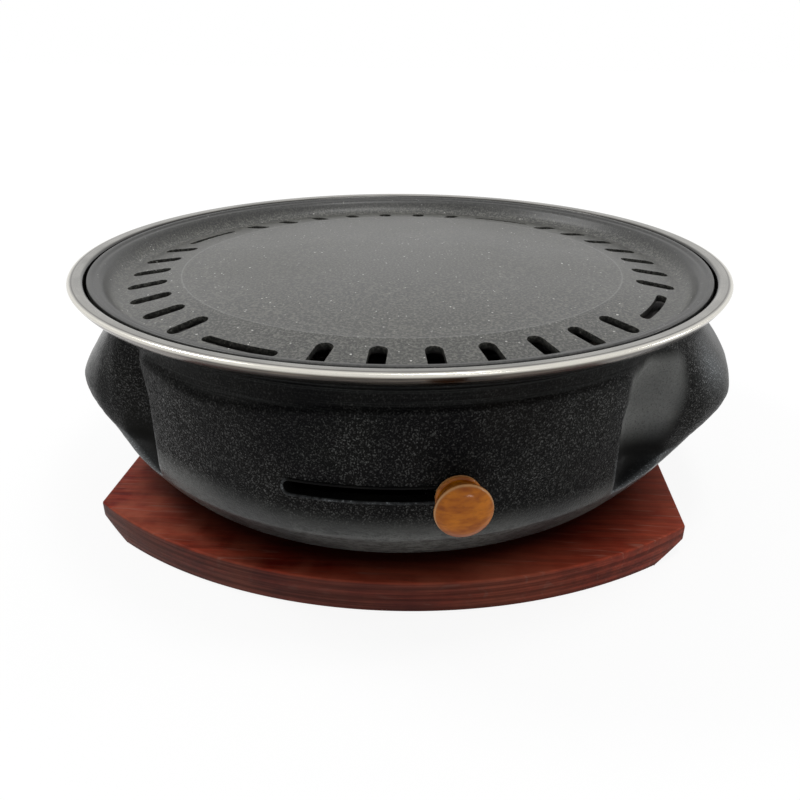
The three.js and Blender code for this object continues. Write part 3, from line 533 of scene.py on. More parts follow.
def black_casting():
    """Black enamelled casting: glossy grain with painted glints, smooth where its points say, with a painted sheen
    and painted highlights.
    """
    n = Finish("black_casting")
    relief, tops, patch, rough = n.use(CAST_SKIN, Pebble_Size=0.9, Grain_Size=0.7, Roughness=0.36)
    coarse, coat_and_painted_sheen, pale_marks = n.stored("coarse"), n.stored("coat_and_painted_sheen"), n.stored("pale_marks")
    z = n.apart(n.where)[2]
    tone = n.remap(patch, 0.38, 0.62)
    peaks = n.product(tops, coarse, n.remap(patch, 0.38, 0.62, 0.45, 1.0))
    ground = n.blend(tone, (0.0010, 0.0010, 0.0014), (0.0060, 0.0060, 0.0052))
    # the pebbles' peaks are painted pale: painted glints
    colour = n.blend(peaks, ground, (0.078, 0.079, 0.075))
    # thin pale horizontal lines on the neck
    streaks = n.noise(n.stretched(n.where, (6.0, 6.0, 900.0)), 1.0, 3.0, 0.7)
    on_neck = n.product(n.remap(z, NECK_LINES_FROM * MM, NECK_LINES_FULL * MM), n.maths("SUBTRACT", 1.0, coarse))
    lines = n.product(on_neck, n.remap(streaks, 0.50, 0.70, 0.0, 0.9))
    colour = n.blend(lines, colour, (0.030, 0.032, 0.031))
    # painted sheen on the bowl's lower band, the right hollow and the ear caps, with darker grain and ripples in it
    # on the bowl
    painted_sheen_colour = n.blend(tone, (0.062, 0.064, 0.063), (0.125, 0.128, 0.120))
    painted_sheen_colour = n.blend(n.product(tops, 0.9), painted_sheen_colour, (0.014, 0.014, 0.014))
    ripples = n.noise(n.stretched(n.where, (260.0, 260.0, 620.0)), 1.0, 3.0, 0.6)
    on_bowl = n.product(coat_and_painted_sheen, n.remap(z, RIPPLES_FULL * MM, RIPPLES_END * MM, 1.0, 0.06))
    rippled = n.product(on_bowl, n.remap(ripples, 0.46, 0.58, 0.0, 0.8))
    painted_sheen_colour = n.blend(rippled, painted_sheen_colour, (0.014, 0.0145, 0.014))
    colour = n.blend(coat_and_painted_sheen, colour, painted_sheen_colour)
    # a breath of rust, and painted highlights on the hollows' lips and corners, one ear's front and the slot's bead
    brown = n.remap(n.noise(n.where, 9.0, 5.0), 0.6, 0.75, 0.0, 0.25)
    colour = n.blend(brown, colour, (0.012, 0.009, 0.006))
    painted_highlight = n.product(pale_marks, n.remap(tops, 0.2, 0.8, 0.2, 1.0))
    colour = n.blend(painted_highlight, colour, (0.40, 0.43, 0.45))
    under = n.bump(n.noise(n.where, 1700.0), 0.04)
    under = n.bump(n.product(ripples, on_bowl), 0.5, under)
    gloss = n.product(peaks, n.remap(patch, 0.4, 0.6, 0.2, 0.9))
    return n.done(Base_Color=colour, Roughness=rough, Specular_IOR_Level=0.04, Coat_Roughness=0.24,
                  Coat_Weight=n.total(gloss, n.product(coat_and_painted_sheen, 0.5)),
                  Normal=n.bump(n.product(relief, coarse), 0.6, under))


def bare_casting():
    """Dull grey-brown casting with a little rust and ash."""
    n = Finish("bare_casting")
    relief, _, patch, rough = n.use(CAST_SKIN, Pebble_Size=1.8, Grain_Size=0.6, Roughness=0.62)
    colour = n.blend(n.remap(patch, 0.35, 0.65), (0.035, 0.033, 0.032), (0.085, 0.08, 0.075))
    rust = n.remap(n.noise(n.where, 40.0, 5.0), 0.58, 0.72, 0.0, 0.6)
    return n.done(Base_Color=n.blend(rust, colour, (0.11, 0.05, 0.025)), Roughness=rough,
                  Normal=n.bump(relief, 0.2), Metallic=0.35)


def polished_steel():
    """Bright stainless with turning marks round the axis, and painted reflections: streaks, a bright outer top, a
    dark line, a dark inner face and a brown band under its edge.
    """
    n = Finish("polished_steel")
    x, _, z = n.apart(n.where)
    radius = n.from_axis(n.where)
    turned = n.node("ShaderNodeCombineXYZ", {0: radius, 1: z, 2: n.product(x, 0.01)}).outputs[0]
    lines = n.noise(turned, 2600.0, 3.0)
    cloud = n.noise(n.stretched(n.where, (1.0, 1.0, 30.0)), 34.0, 5.0, 0.6)
    # the streaky tone is painted: painted reflection streaks
    colour = n.blend(n.remap(cloud, 0.3, 0.7), (0.17, 0.165, 0.15), (0.34, 0.33, 0.305))
    # the outer top is painted bright: a painted highlight
    painted_highlight_band = n.remap(radius, (RING_DARK_LINE + 0.4) * MM, (RING_DARK_LINE + 1.2) * MM, 0.0, 0.9)
    colour = n.blend(painted_highlight_band, colour, (0.70, 0.675, 0.61))
    # a thin dark line painted on the top: a painted reflection
    off_dark_line = n.maths("ABSOLUTE", n.maths("SUBTRACT", radius, RING_DARK_LINE * MM))
    colour = n.blend(n.remap(off_dark_line, 0.12 * MM, 0.4 * MM, 0.8, 0.0), colour, (0.075, 0.068, 0.058))
    # a brown band under the edge, lighter to the left: a painted reflection
    painted_lower_reflection = n.blend(n.remap(cloud, 0.42, 0.58), (0.042, 0.037, 0.031), (0.135, 0.112, 0.090))
    painted_lower_reflection = n.blend(n.remap(x, -0.125, -0.065, 0.8, 0.0), painted_lower_reflection, (0.20, 0.155, 0.125))
    below = n.remap(z, LOWER_REFLECTION_TOP * MM, (LOWER_REFLECTION_TOP + 1) * MM, 1.0, 0.0)
    colour = n.blend(below, colour, painted_lower_reflection)
    # the inner face is painted dark: a painted reflection of the plate's dark rim
    inner = n.remap(radius, RING_INNER_FACE * MM, (RING_INNER_FACE + 0.8) * MM, 1.0, 0.0)
    colour = n.blend(inner, colour, (0.045, 0.044, 0.042))
    rough = n.total(n.remap(lines, 0.3, 0.7, 0.14, 0.24), n.remap(cloud, 0.4, 0.75, 0.0, 0.1))
    return n.done(Base_Color=colour, Roughness=rough, Normal=n.bump(lines, 0.012), Metallic=1.0)


def plated_steel():
    """Zinc-plated steel of the damper and its screws, a little smoked."""
    n = Finish("plated_steel")
    cloud = n.noise(n.where, 60.0, 5.0)
    colour = n.blend(n.remap(cloud, 0.35, 0.7), (0.34, 0.33, 0.31), (0.5, 0.5, 0.5))
    return n.done(Base_Color=colour, Roughness=n.remap(cloud, 0.3, 0.7, 0.3, 0.48),
                  Normal=n.bump(n.noise(n.where, 900.0), 0.02), Metallic=0.9)


def plain_brass():
    """Brass of the knob's threaded insert."""
    n = Finish("plain_brass")
    cloud = n.noise(n.where, 300.0, 3.0)
    return n.done(Base_Color=n.blend(cloud, (0.5, 0.36, 0.14), (0.72, 0.54, 0.25)),
                  Roughness=n.remap(cloud, 0.3, 0.7, 0.25, 0.4), Metallic=1.0)


def coated_plate():
    """Dark non-stick coating: fine grain, scattered pale specks, a painted highlight along the crease and painted
    shade in the drains and on the rim's edge.
    """
    n = Finish("coated_plate")
    fine, wide = n.noise(n.where, 820.0, 2.0, 0.7), n.noise(n.where, 12.0, 4.0)
    colour = n.blend(n.remap(wide, 0.3, 0.7), (0.016, 0.016, 0.015), (0.032, 0.032, 0.029))
    colour = n.blend(n.remap(fine, 0.44, 0.64), colour, (0.125, 0.124, 0.110))
    small = n.use(SPECKS, Spacing=1.7, Speck_Size=0.3, Share=0.13)[0]
    large = n.use(SPECKS, Spacing=4.6, Speck_Size=0.13, Share=0.3)[0]
    colour = n.blend(n.maths("MAXIMUM", small, large), colour, (0.62, 0.61, 0.58))
    # a pale line painted along the crease: a painted highlight
    off_crease = n.maths("ABSOLUTE", n.maths("SUBTRACT", n.from_axis(n.where), CREASE_RADIUS * MM))
    colour = n.blend(n.remap(off_crease, 0.0, 0.6 * MM, 0.28, 0.0), colour, (0.30, 0.30, 0.29))
    # near-black in the drains and on the rim's outer edge: painted shade
    colour = n.blend(n.stored("painted_shade"), colour, (0.003, 0.003, 0.003))
    rough = n.total(n.remap(fine, 0.3, 0.7, 0.34, 0.46), n.remap(wide, 0.35, 0.7, -0.03, 0.05))
    return n.done(Base_Color=colour, Roughness=rough, Normal=n.bump(fine, 0.045))


def stained_board():
    """Dark red-brown stain: pale patches with painted light to the left, a painted shadow round the foot, finely
    scratched.
    """
    n = Finish("stained_board")
    band, fibre, patch = n.use(TIMBER_GRAIN, Band_Size=3.2)
    x, _, z = n.apart(n.where)
    colour = n.blend(band, (0.135, 0.0085, 0.0040), (0.31, 0.031, 0.0135))
    colour = n.blend(n.remap(fibre, 0.35, 0.7, 0.0, 0.5), colour, (0.045, 0.006, 0.004))
    # pale patches, made stronger to the left: painted light
    pale_patches_and_painted_light = n.product(patch, n.remap(x, *PAINTED_LIGHT_SPAN, 1.0, 0.3))
    colour = n.blend(pale_patches_and_painted_light, colour, (0.52, 0.150, 0.082))
    scratch = n.noise(n.stretched(n.where, (0.07, 1.0, 0.3)), 520.0, Distortion=0.6)
    colour = n.blend(n.remap(scratch, 0.62, 0.70, 0.0, 0.45), colour, (0.33, 0.135, 0.10))
    # dark round the foot: a painted shadow of the bowl
    painted_shadow = n.remap(n.from_axis(n.where), (FOOT_RADIUS + 10) * MM, (FOOT_RADIUS + 38) * MM, 0.93, 0.0)
    colour = n.blend(painted_shadow, colour, (0.013, 0.0016, 0.001))
    edge = n.remap(z, (TRAY_THICK - 1.5) * MM, (TRAY_THICK - 0.3) * MM, 0.5, 0.0)
    greyed = n.product(edge, n.remap(x, -0.14, 0.05, 1.5, 0.5))
    colour = n.blend(greyed, colour, (0.082, 0.050, 0.046))
    layers = n.noise(n.stretched(n.where, (0.12, 0.12, 9.0)), 60.0, 3.0)
    layered = n.product(edge, n.remap(layers, 0.42, 0.58, 0.15, 1.1))
    colour = n.blend(layered, colour, (0.012, 0.004, 0.003))
    rough = n.total(n.remap(patch, 0.0, 1.0, 0.38, 0.52), n.remap(fibre, 0.3, 0.7, -0.03, 0.05))
    relief = n.total(n.product(band, 0.5), fibre)
    return n.done(Base_Color=colour, Roughness=rough, Specular_IOR_Level=0.045, Normal=n.bump(relief, 0.09))


def amber_knob():
    """Amber-varnished hardwood: fine streaks, dark pores and a pale rim."""
    n = Finish("amber_knob")
    squeezed = n.stretched(n.where, (0.42, 0.5, 1.0))
    streaks, bands = n.noise(squeezed, 900.0, 4.0, 0.6), n.noise(squeezed, 260.0)
    colour = n.blend(n.remap(bands, 0.35, 0.65), (0.23, 0.052, 0.0012), (0.44, 0.135, 0.0050))
    colour = n.blend(n.remap(streaks, 0.50, 0.70, 0.0, 0.32), colour, (0.105, 0.024, 0.0018))
    z = n.apart(n.where)[2]
    reddish = n.remap(z, (SLOT_Z - 11) * MM, (SLOT_Z - 3) * MM, 0.55, 0.0)
    colour = n.blend(reddish, colour, (0.22, 0.050, 0.016))
    # a pale rim and a pale edge at the base
    colour = n.blend(n.product(n.stored("pale_marks"), 0.8), colour, (0.62, 0.36, 0.17))
    return n.done(Base_Color=colour, Roughness=n.remap(streaks, 0.3, 0.7, 0.28, 0.38),
                  Specular_IOR_Level=0.04, Coat_Weight=0.3, Coat_Roughness=0.14, Normal=n.bump(streaks, 0.03))


BLACK_CASTING = black_casting()
BARE_CASTING = bare_casting()
POLISHED_STEEL = polished_steel()
PLATED_STEEL = plated_steel()
PLAIN_BRASS = plain_brass()
COATED_PLATE = coated_plate()
STAINED_BOARD = stained_board()
AMBER_KNOB = amber_knob()


def finish_with(piece, paint):
    """Gives every face of the piece one material."""
    piece.data.materials.clear()
    piece.data.materials.append(paint)
    return piece


def stand_for(piece, body, node, paint):
    """Puts a finished piece in place of its solid."""
    finish_with(piece, paint)
    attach(piece, body)
    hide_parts(node)
    return piece


# ---- tray ----------------------------------------------------------------------------

def tray():
    """The board: bowed front and back, straight ends undercut for lifting."""
    half, end = TRAY_LENGTH / 2, TRAY_END_WIDTH / 2
    sagitta = (TRAY_MID_WIDTH - TRAY_END_WIDTH) / 2
    bow = (half ** 2 + sagitta ** 2) / (2 * sagitta)
    sweep = math.degrees(math.asin(half / bow))
    centre = TRAY_MID_WIDTH / 2 - bow
    outline = arc(0, centre, bow, 90 - sweep, 90 + sweep, 72)
    outline += arc(0, -centre, bow, -90 - sweep, -90 + sweep, 72)
    board = prism("tray_board", outline, 0, TRAY_THICK)
    for side in (-1, 1):
        edge = side * half
        inner, outer = edge - side * TRAY_BEVEL_RUN, edge + side * 3
        run = [(inner, 0), (edge, TRAY_BEVEL_RISE), (outer, TRAY_BEVEL_RISE + 1.5), (outer, -2), (inner, -2)]
        wedge = prism("undercut", run, -TRAY_MID_WIDTH / 2, TRAY_MID_WIDTH / 2)
        wedge.data.transform(Matrix.Rotation(math.radians(90), 4, "X"))
        cut(board, face_outwards(wedge))
    low, high = TRAY_THICK - TRAY_RECESS_DEPTH, TRAY_THICK + 2
    recess = [(0, low), (TRAY_RECESS_RADIUS, low), (TRAY_RECESS_RADIUS, high), (0, high)]
    cut(board, revolved("recess", recess, 180, closed=False))
    soften(board, 0.9, segments=3)
    for vertex in board.data.vertices:
        vertex.co.z = min(max(vertex.co.z, 0), TRAY_THICK * MM)
    return board


stand_for(tray(), "tray", "wooden_tray", STAINED_BOARD)


# ---- cast shell ----------------------------------------------------------------------

def smooth_through(pairs, places):
    """Smooth values between the given (place, value) pairs."""
    xs = np.array([p[0] for p in pairs], dtype=float)
    ys = np.array([p[1] for p in pairs], dtype=float)
    slopes = np.diff(ys) / np.diff(xs)
    tangents = np.zeros(len(xs))
    tangents[0], tangents[-1] = slopes[0], slopes[-1]
    for i in range(1, len(xs) - 1):
        a, b = slopes[i - 1], slopes[i]
        tangents[i] = 0 if a * b <= 0 else 2 * a * b / (a + b)
    q = np.clip(places, xs[0], xs[-1])
    k = np.clip(np.searchsorted(xs, q, side="right") - 1, 0, len(xs) - 2)
    h = xs[k + 1] - xs[k]
    t = (q - xs[k]) / h
    return (ys[k] * (2 * t ** 3 - 3 * t ** 2 + 1) + tangents[k] * h * (t ** 3 - 2 * t ** 2 + t)
            + ys[k + 1] * (3 * t ** 2 - 2 * t ** 3) + tangents[k + 1] * h * (t ** 3 - t ** 2))


def rise(share):
    """A height at a share of the wall's own height, above the lip."""
    return LIP_HEIGHT + (SHOULDER - LIP_HEIGHT) * share


def bowl_at(share):
    """A radius at a share of the way from the foot to the wall."""
    return FOOT_RADIUS + (WALL_RADIUS - FOOT_RADIUS) * share


def ear_at(share):
    """A radius at a share of the ear's reach beyond the wall."""
    return WALL_RADIUS + EAR_REACH * share


def ridge_at(share):
    """A radius at a share of the ridge's reach beyond the wall."""
    return WALL_RADIUS + RIDGE_REACH * share


NECK = [
    (SHOULDER, WALL_RADIUS), (SHOULDER + 1.6, WALL_RADIUS - 0.8), (SHOULDER + 2.6, NECK_RADIUS),
    (SHOULDER + 5, NECK_RADIUS), (SHELL_HEIGHT - 4.5, NECK_RADIUS + 3.7),
    (SHELL_HEIGHT - 1.8, TOP_LAND_OUTER - 1), (SHELL_HEIGHT - 1, TOP_LAND_OUTER), (SHELL_HEIGHT, TOP_LAND_OUTER),
]
BOWL = [
    (0, FOOT_RADIUS), (LIP_HEIGHT * 0.09, bowl_at(0.187)), (LIP_HEIGHT * 0.22, bowl_at(0.39)),
    (LIP_HEIGHT * 0.4, bowl_at(0.587)), (LIP_HEIGHT * 0.6, bowl_at(0.744)), (LIP_HEIGHT * 0.8, bowl_at(0.875)),
    (LIP_HEIGHT, bowl_at(0.969)),
]
FRONT = BOWL + [(rise(0.136), WALL_RADIUS)] + NECK
EAR = BOWL[:-2] + [
    (LIP_HEIGHT * 0.8, ear_at(0.03)), (LIP_HEIGHT, ear_at(0.29)), (rise(0.127), ear_at(0.575)),
    (rise(0.263), ear_at(0.85)), (rise(0.38), ear_at(1)), (rise(0.45), ear_at(1.04)),
    (rise(0.54), ear_at(0.97)), (rise(0.636), ear_at(0.835)), (rise(0.72), ear_at(0.68)),
    (rise(0.839), ear_at(0.4)), (rise(0.924), ear_at(0.22)), (SHOULDER, ear_at(0.08)),
    (SHOULDER + 4, ear_at(-0.05)), (SHOULDER + 5, NECK_RADIUS + 1.8),
] + NECK[4:]
RIDGE = BOWL[:-2] + [
    (LIP_HEIGHT * 0.8, ridge_at(-0.243)), (LIP_HEIGHT, ridge_at(0.194)), (rise(0.076), ridge_at(0.417)),
    (rise(0.229), ridge_at(0.748)), (rise(0.398), ridge_at(0.961)), (rise(0.525), ridge_at(1)),
    (rise(0.686), ridge_at(0.922)), (rise(0.856), ridge_at(0.631)), (SHOULDER, ridge_at(0.194)),
    (SHOULDER + 4, ridge_at(-0.165)), (SHOULDER + 5, NECK_RADIUS + 0.8),
] + NECK[4:]
HOLLOW_RISE = [
    (LIP_HEIGHT, 0), (LIP_HEIGHT + 0.8, 0.16), (LIP_HEIGHT + 2.4, 0.44), (rise(0.119), 0.78), (rise(0.263), 0.93),
    (rise(0.483), 1), (rise(0.703), 0.9), (rise(0.89), 0.58), (SHOULDER, 0.24), (SHOULDER + 4, 0.02),
    (SHOULDER + 5, 0),
]
HOLLOW_SPAN = [
    (0, 0.2), (0.06, 0.38), (0.18, 0.66), (0.3, 0.84), (0.42, 0.94), (0.53, 1), (0.65, 0.93), (0.76, 0.76),
    (0.86, 0.52), (0.94, 0.24), (1, 0),
]


def bell(offset, width):
    """A smooth bump of height 1 round an offset of 0."""
    return np.exp(-(offset / width) ** 2)


def signed_turn(angle):
    """Angle from the front, -180 to 180, positive to the right."""
    return (angle + 180) % 360 - 180


def smooth_step(low, high, value):
    """Rises smoothly from 0 at low to 1 at high."""
    t = np.clip((value - low) / (high - low), 0, 1)
    return t * t * (3 - 2 * t)


def quarter_angle(angle):
    """Angle from the nearer of front and back, 0 to 90."""
    fold = np.abs((angle + 540) % 360 - 180)
    return np.where(fold > 90, 180 - fold, fold)


def shoulder_height(angle):
    """Height where the wall gives way to the neck; lowest at the left of the front."""
    beyond = signed_turn(angle) - DIP_ANGLE
    return SHOULDER_LINE - SHOULDER_DIP * bell(beyond, np.where(beyond < 0, 10.5, 17))


def skin_radius(angle, height):
    """Radius of the shell's outer skin; angle and height are arrays of one shape."""
    a = quarter_angle(angle)
    front = smooth_through(FRONT, height)
    eased = WALL_RADIUS - (WALL_RADIUS - NECK_RADIUS) * smooth_step(-1.5, 2.5, height - shoulder_height(angle))
    front = np.where(height < SHOULDER + 5, np.minimum(front, eased), front)
    share = (height - LIP_HEIGHT) / (SHOULDER - LIP_HEIGHT)
    high = np.clip(share * 2 - 0.3, 0, 1) * np.clip((SHOULDER + 5 - height) / 5, 0, 1)
    lean = high * EAR_LEAN * np.sin(np.radians(angle))
    ear = smooth_through(EAR, height) + lean
    ridge = smooth_through(RIDGE, height) + lean / 3
    t = np.clip((a - RIDGE_ANGLE) / (EAR_ANGLE - RIDGE_ANGLE), 0, 1)
    side = ridge + (ear - ridge) * np.sin(t * math.pi / 2)
    t = np.clip((a - PANEL_ANGLE) / (RIDGE_ANGLE - PANEL_ANGLE), 0, 1)
    lift = LIP_RISE * t * t * np.clip(1 - share * 2, 0, 1)
    near_lip = np.clip(1 - (height - LIP_HEIGHT) / HOLLOW_CORNER_HEIGHT, 0, 1)
    corner = HOLLOW_CORNER_SHARE * (1 - np.sqrt(1 - near_lip ** 2))
    across = smooth_through(HOLLOW_SPAN, np.clip((t - corner) / (1 - corner), 0, 1))
    across = across ** (1 + HOLLOW_TOP_EASE * np.clip(share * 2 - 0.76, 0, 1))
    depth = HOLLOW_DEPTH * smooth_through(HOLLOW_RISE, height - lift) * across
    hollow = front + (ridge - front) * t - depth
    return np.where(a <= PANEL_ANGLE, front, np.where(a < RIDGE_ANGLE, hollow, side))


def lip_lift(angle):
    """How far the finger hollow's lower edge has risen above the panel's corner."""
    t = np.clip((quarter_angle(angle) - PANEL_ANGLE) / (RIDGE_ANGLE - PANEL_ANGLE), 0, 1)
    return LIP_RISE * t * t


def above_lip(angle, height):
    """Height above the finger hollow's lower edge."""
    return height - LIP_HEIGHT - lip_lift(angle)


def coarse_share(angle, height):
    """Where the casting is pebbled: the wall and the ears' fronts, not the neck or bowl."""
    a = quarter_angle(angle)
    left = signed_turn(angle) < 0
    low = smooth_step(22, 40, height + 3 * smooth_step(20, 40, a))
    top = 1 - 0.7 * smooth_step(-4, 3, height - np.where(a > 50, SHOULDER + 2, shoulder_height(angle)))
    hollow = smooth_step(PANEL_ANGLE, PANEL_ANGLE + 1, a) * (1 - smooth_step(RIDGE_ANGLE - 2, RIDGE_ANGLE + 1, a))
    edge = 1 - 0.8 * bell(a - PANEL_ANGLE, 0.4) * np.clip((62 - height) / 20, 0, 1)
    lip = 1 - 0.95 * bell(above_lip(angle, height), 1.6) * ((a > PANEL_ANGLE) & (a < 66))
    cap = 1 - 0.9 * smooth_step(62, 78, a) * smooth_step(42, 64, height)
    grainy = np.where(left, 0.95 * smooth_step(34, 52, height), 0.6 * smooth_step(46, 66, height))
    inside = 1 - hollow * (1 - grainy)
    return low * top * edge * lip * cap * inside


def coat_and_painted_sheen_share(angle, height):
    """Where the casting gets more coat and a painted sheen: the bowl's lower band, the right hollow and the ear
    caps, most on the left ear.
    """
    a = quarter_angle(angle)
    turn = signed_turn(angle)
    side = 7 * smooth_step(8, 36, -turn) * (1 - smooth_step(110, 160, -turn))
    bowl = (1 - smooth_step(25 + side, 39 + side, height)) * smooth_step(-4, 14, height)
    scooped = smooth_step(PANEL_ANGLE, PANEL_ANGLE + 1, a) * smooth_step(-0.5, 0.8, above_lip(angle, height))
    bowl = 0.72 * bowl * (1 - scooped)
    hollow = smooth_step(PANEL_ANGLE + 0.5, PANEL_ANGLE + 2.5, a)
    hollow = hollow * (1 - smooth_step(RIDGE_ANGLE - 3, RIDGE_ANGLE, a))
    hollow = hollow * smooth_step(36, 54, height) * (1 - smooth_step(80, 88, height)) * (turn > 0)
    cap = smooth_step(60, 76, a) * smooth_step(40, 64, height) * (1 - smooth_step(84, 92, height))
    cap = cap * np.where(turn < 0, 1.0, 0.3)
    neck = 1 - smooth_step(-2, 2, height - np.where(a > 50, SHOULDER + 2, shoulder_height(angle)))
    return np.clip(np.maximum(bowl, np.maximum(hollow, cap)), 0, 1) * neck


def painted_highlight_share(angle, height):
    """Where highlights are painted: the hollows' lips and corners, and glints on one ear's front."""
    a = quarter_angle(angle)
    above = above_lip(angle, height) - 0.1
    lip = 0.85 * bell(above, np.where(above > 0, 0.5, 1.1))
    lip = np.maximum(lip, 0.3 * bell(above + 1.5, 2.2))
    lip = lip * smooth_step(PANEL_ANGLE - 0.6, PANEL_ANGLE + 0.6, a) * (1 - smooth_step(58, 66, a))
    edge = 0.42 * bell(a - PANEL_ANGLE - 0.1, 0.22)
    edge = edge * smooth_step(27, 29, height) * (1 - smooth_step(40, 56, height))
    ear = bell(a - 67, 3.6) * bell(height - 73, 9) * (signed_turn(angle) > 0)
    return np.clip(np.maximum(np.maximum(lip, edge), ear), 0, 1)


def uneven(point, layers):
    """Smooth unevenness in layers, each a frequency per millimetre and a height."""
    return sum(height * noise.noise(Vector(point * frequency)) for frequency, height in layers)


def pebbles(points, coarse):
    """Small outward moves in millimetres that roughen the casting."""
    return np.array([uneven(point, WAVES) * (0.25 + 0.75 * share) + uneven(point, KNOBBLES) * share ** 2
                     for point, share in zip(points, coarse)])


def quarter_turns():
    """Angles round the shell, close together at the wall's edges."""
    quarter = np.concatenate((
        np.linspace(0, PANEL_ANGLE, 67), [PANEL_ANGLE + 0.25], np.linspace(PANEL_ANGLE + 0.6, RIDGE_ANGLE, 34),
        np.linspace(RIDGE_ANGLE, 90, 45)[1:]))
    half = np.concatenate((quarter, 180 - quarter[:-1][::-1]))
    return np.concatenate((half, half[1:-1] + 180))


def shell_skin(angles):
    """Points of the outer skin, row by row, and what its material is told at each."""
    heights = np.concatenate((
        [0, 0.3, 0.7, 1.2, 1.8, 2.5, 3.3, 4.2, 5.2, 6.3, 7.5], np.arange(8.8, 25.5, 1.35),
        [26.3, 26.9, 27.3, 27.6, 27.95, 28.4], np.arange(28.9, 36, 0.7), np.arange(36.8, 74, 1.35),
        np.arange(74.6, 88.2, 0.85),
        [88.8, 89.4, 90.4, 91.6, 92.6, 93.6, 94.6, 95.6, 96.4, 96.9, 97.3, 97.7, 98.2, 98.5]))
    grid_a, grid_h = np.meshgrid(angles, heights)
    grid_h = grid_h + lip_lift(grid_a) * smooth_step(8, 26, grid_h) * (1 - smooth_step(36, 74, grid_h))
    radius = skin_radius(grid_a, grid_h)
    eased = bell(quarter_angle(grid_a) - RIDGE_ANGLE - 1, 4)
    beside = np.mean([skin_radius(grid_a + turn, grid_h) for turn in (-3.5, -1.8, 1.8, 3.5)], axis=0)
    radius = radius + 0.85 * eased * (beside - radius)
    points = around(grid_a, radius, grid_h + FOOT_LINE).reshape(-1, 3)
    angle, height = grid_a.ravel(), grid_h.ravel()
    # the shares of pebbling, of coat with a painted sheen, and of painted highlights
    shares = {"coarse": coarse_share(angle, height), "coat_and_painted_sheen": coat_and_painted_sheen_share(angle, height),
              "pale_marks": painted_highlight_share(angle, height)}
    fade = np.clip(height / 4, 0, 1) * np.clip((SHELL_HEIGHT - 1.5 - height) / 3, 0, 1)
    scale = 1 + np.minimum(pebbles(points, shares["coarse"]) * fade, PEBBLE_LIMIT) / radius.ravel()
    skin = points * np.stack((scale, scale, np.ones_like(scale)), axis=-1)
    # the ears' tips are drawn in a little, so that they end where the solid's do
    reach, limit = np.abs(skin[:, 0]).max(), cad_high[0] / MM - 0.02
    over = np.clip(np.abs(skin[:, 0]) - EAR_TIP_START, 0, None) / (reach - EAR_TIP_START)
    skin[:, 0] -= np.sign(skin[:, 0]) * over * max(reach - limit, 0)
    return skin.reshape(len(heights), len(angles), 3), shares


def shell():
    """The whole casting: foot, skin, top land, ledge, cavity, and floor with its post."""
    angles = quarter_turns()
    count = len(angles)
    skin, shares = shell_skin(angles)
    inner_rows = [(TOP_LAND_OUTER - 0.5, SHELL_HEIGHT), (TOP_LAND_INNER, SHELL_HEIGHT),
                  (TOP_LAND_INNER, SHELL_HEIGHT - 3.5), (LEDGE_BORE, LEDGE_HEIGHT + 4.5),
                  (LEDGE_BORE, LEDGE_HEIGHT), (LEDGE_INNER, LEDGE_HEIGHT),
                  (LEDGE_INNER, LEDGE_HEIGHT - LEDGE_THICK)]
    cavity_rows = [LEDGE_HEIGHT - LEDGE_THICK, 70.0, 60.0, 50.0, 40.0, 30.0, 20.0, 12.0, FLOOR_TOP]
    floor_rows = [(60.0, FLOOR_TOP), (POST_RADIUS + 5, FLOOR_TOP), (POST_RADIUS + 3, FLOOR_TOP + 2.5),
                  (POST_RADIUS, FLOOR_TOP + 6), (POST_RADIUS, POST_TOP - FOOT_LINE),
                  (POST_BORE, POST_TOP - FOOT_LINE), (POST_BORE, POST_BORE_END)]
    foot_rows = [(FOOT_INNER, FOOT_HOLLOW), (FOOT_INNER, FOOT_BOTTOM - FOOT_LINE),
                 (FOOT_RADIUS, FOOT_BOTTOM - FOOT_LINE)]

    lower = [around(angles, r, h + FOOT_LINE) for r, h in foot_rows]
    rows = lower + list(skin) + [around(angles, r, h + FOOT_LINE) for r, h in inner_rows]
    for h in cavity_rows:
        near = np.min([skin_radius(angles + d, np.full(count, h)) for d in (-2.5, 0, 2.5)], axis=0)
        r = np.minimum(near, WALL_RADIUS) - SHELL_WALL - (4 if h == FLOOR_TOP else 0)
        rows.append(around(angles, np.minimum(r, CAVITY_RADIUS), h + FOOT_LINE))
    rows += [around(angles, r, h + FOOT_LINE) for r, h in floor_rows]
    ends = np.array([[0, 0, POST_BORE_END + FOOT_LINE], [0, 0, FOOT_HOLLOW + FOOT_LINE]])
    points = np.concatenate(rows + [ends])
    numbers = [list(range(k * count, (k + 1) * count)) for k in range(len(rows))]
    faces = [face for low, high in zip(numbers, numbers[1:]) for face in band_faces(low, high)]
    deep, below = len(rows) * count, len(rows) * count + 1
    for first, last in zip(numbers[0], numbers[-1]):
        after = (first + 1) % count
        faces.append((last, numbers[-1][after], deep))
        faces.append((after, first, below))
    piece = mesh_piece("shell_casting", points, faces, crease=40)
    start = len(lower) * count
    for (name, values), inside in zip(shares.items(), (0.6, 0.1, 0.0)):
        spread = np.zeros(len(points))
        spread[start:start + len(values)] = values
        spread[start + len(values):] = inside
        store(piece, name, spread)
    return face_outwards(piece)


def slot_outline(height, grow=0.0, steps=10):
    """The slot's round-ended outline as (angle, height) pairs, grown at its ends."""
    cap = math.degrees(math.asin(height / 2 / WALL_RADIUS))
    left, right = -SLOT_LEFT_ANGLE - grow + cap, SLOT_HALF_ANGLE + grow - cap
    line = []
    for start, end, side, first in ((left, right, -1, -90), (right, left, 1, 90)):
        line += [(a, side * height / 2) for a in np.linspace(start, end, 61)]
        for t in np.radians(np.linspace(first, first + 180, steps + 1)[1:-1]):
            line.append((end + cap * math.cos(t), height / 2 * math.sin(t)))
    return np.array(line)


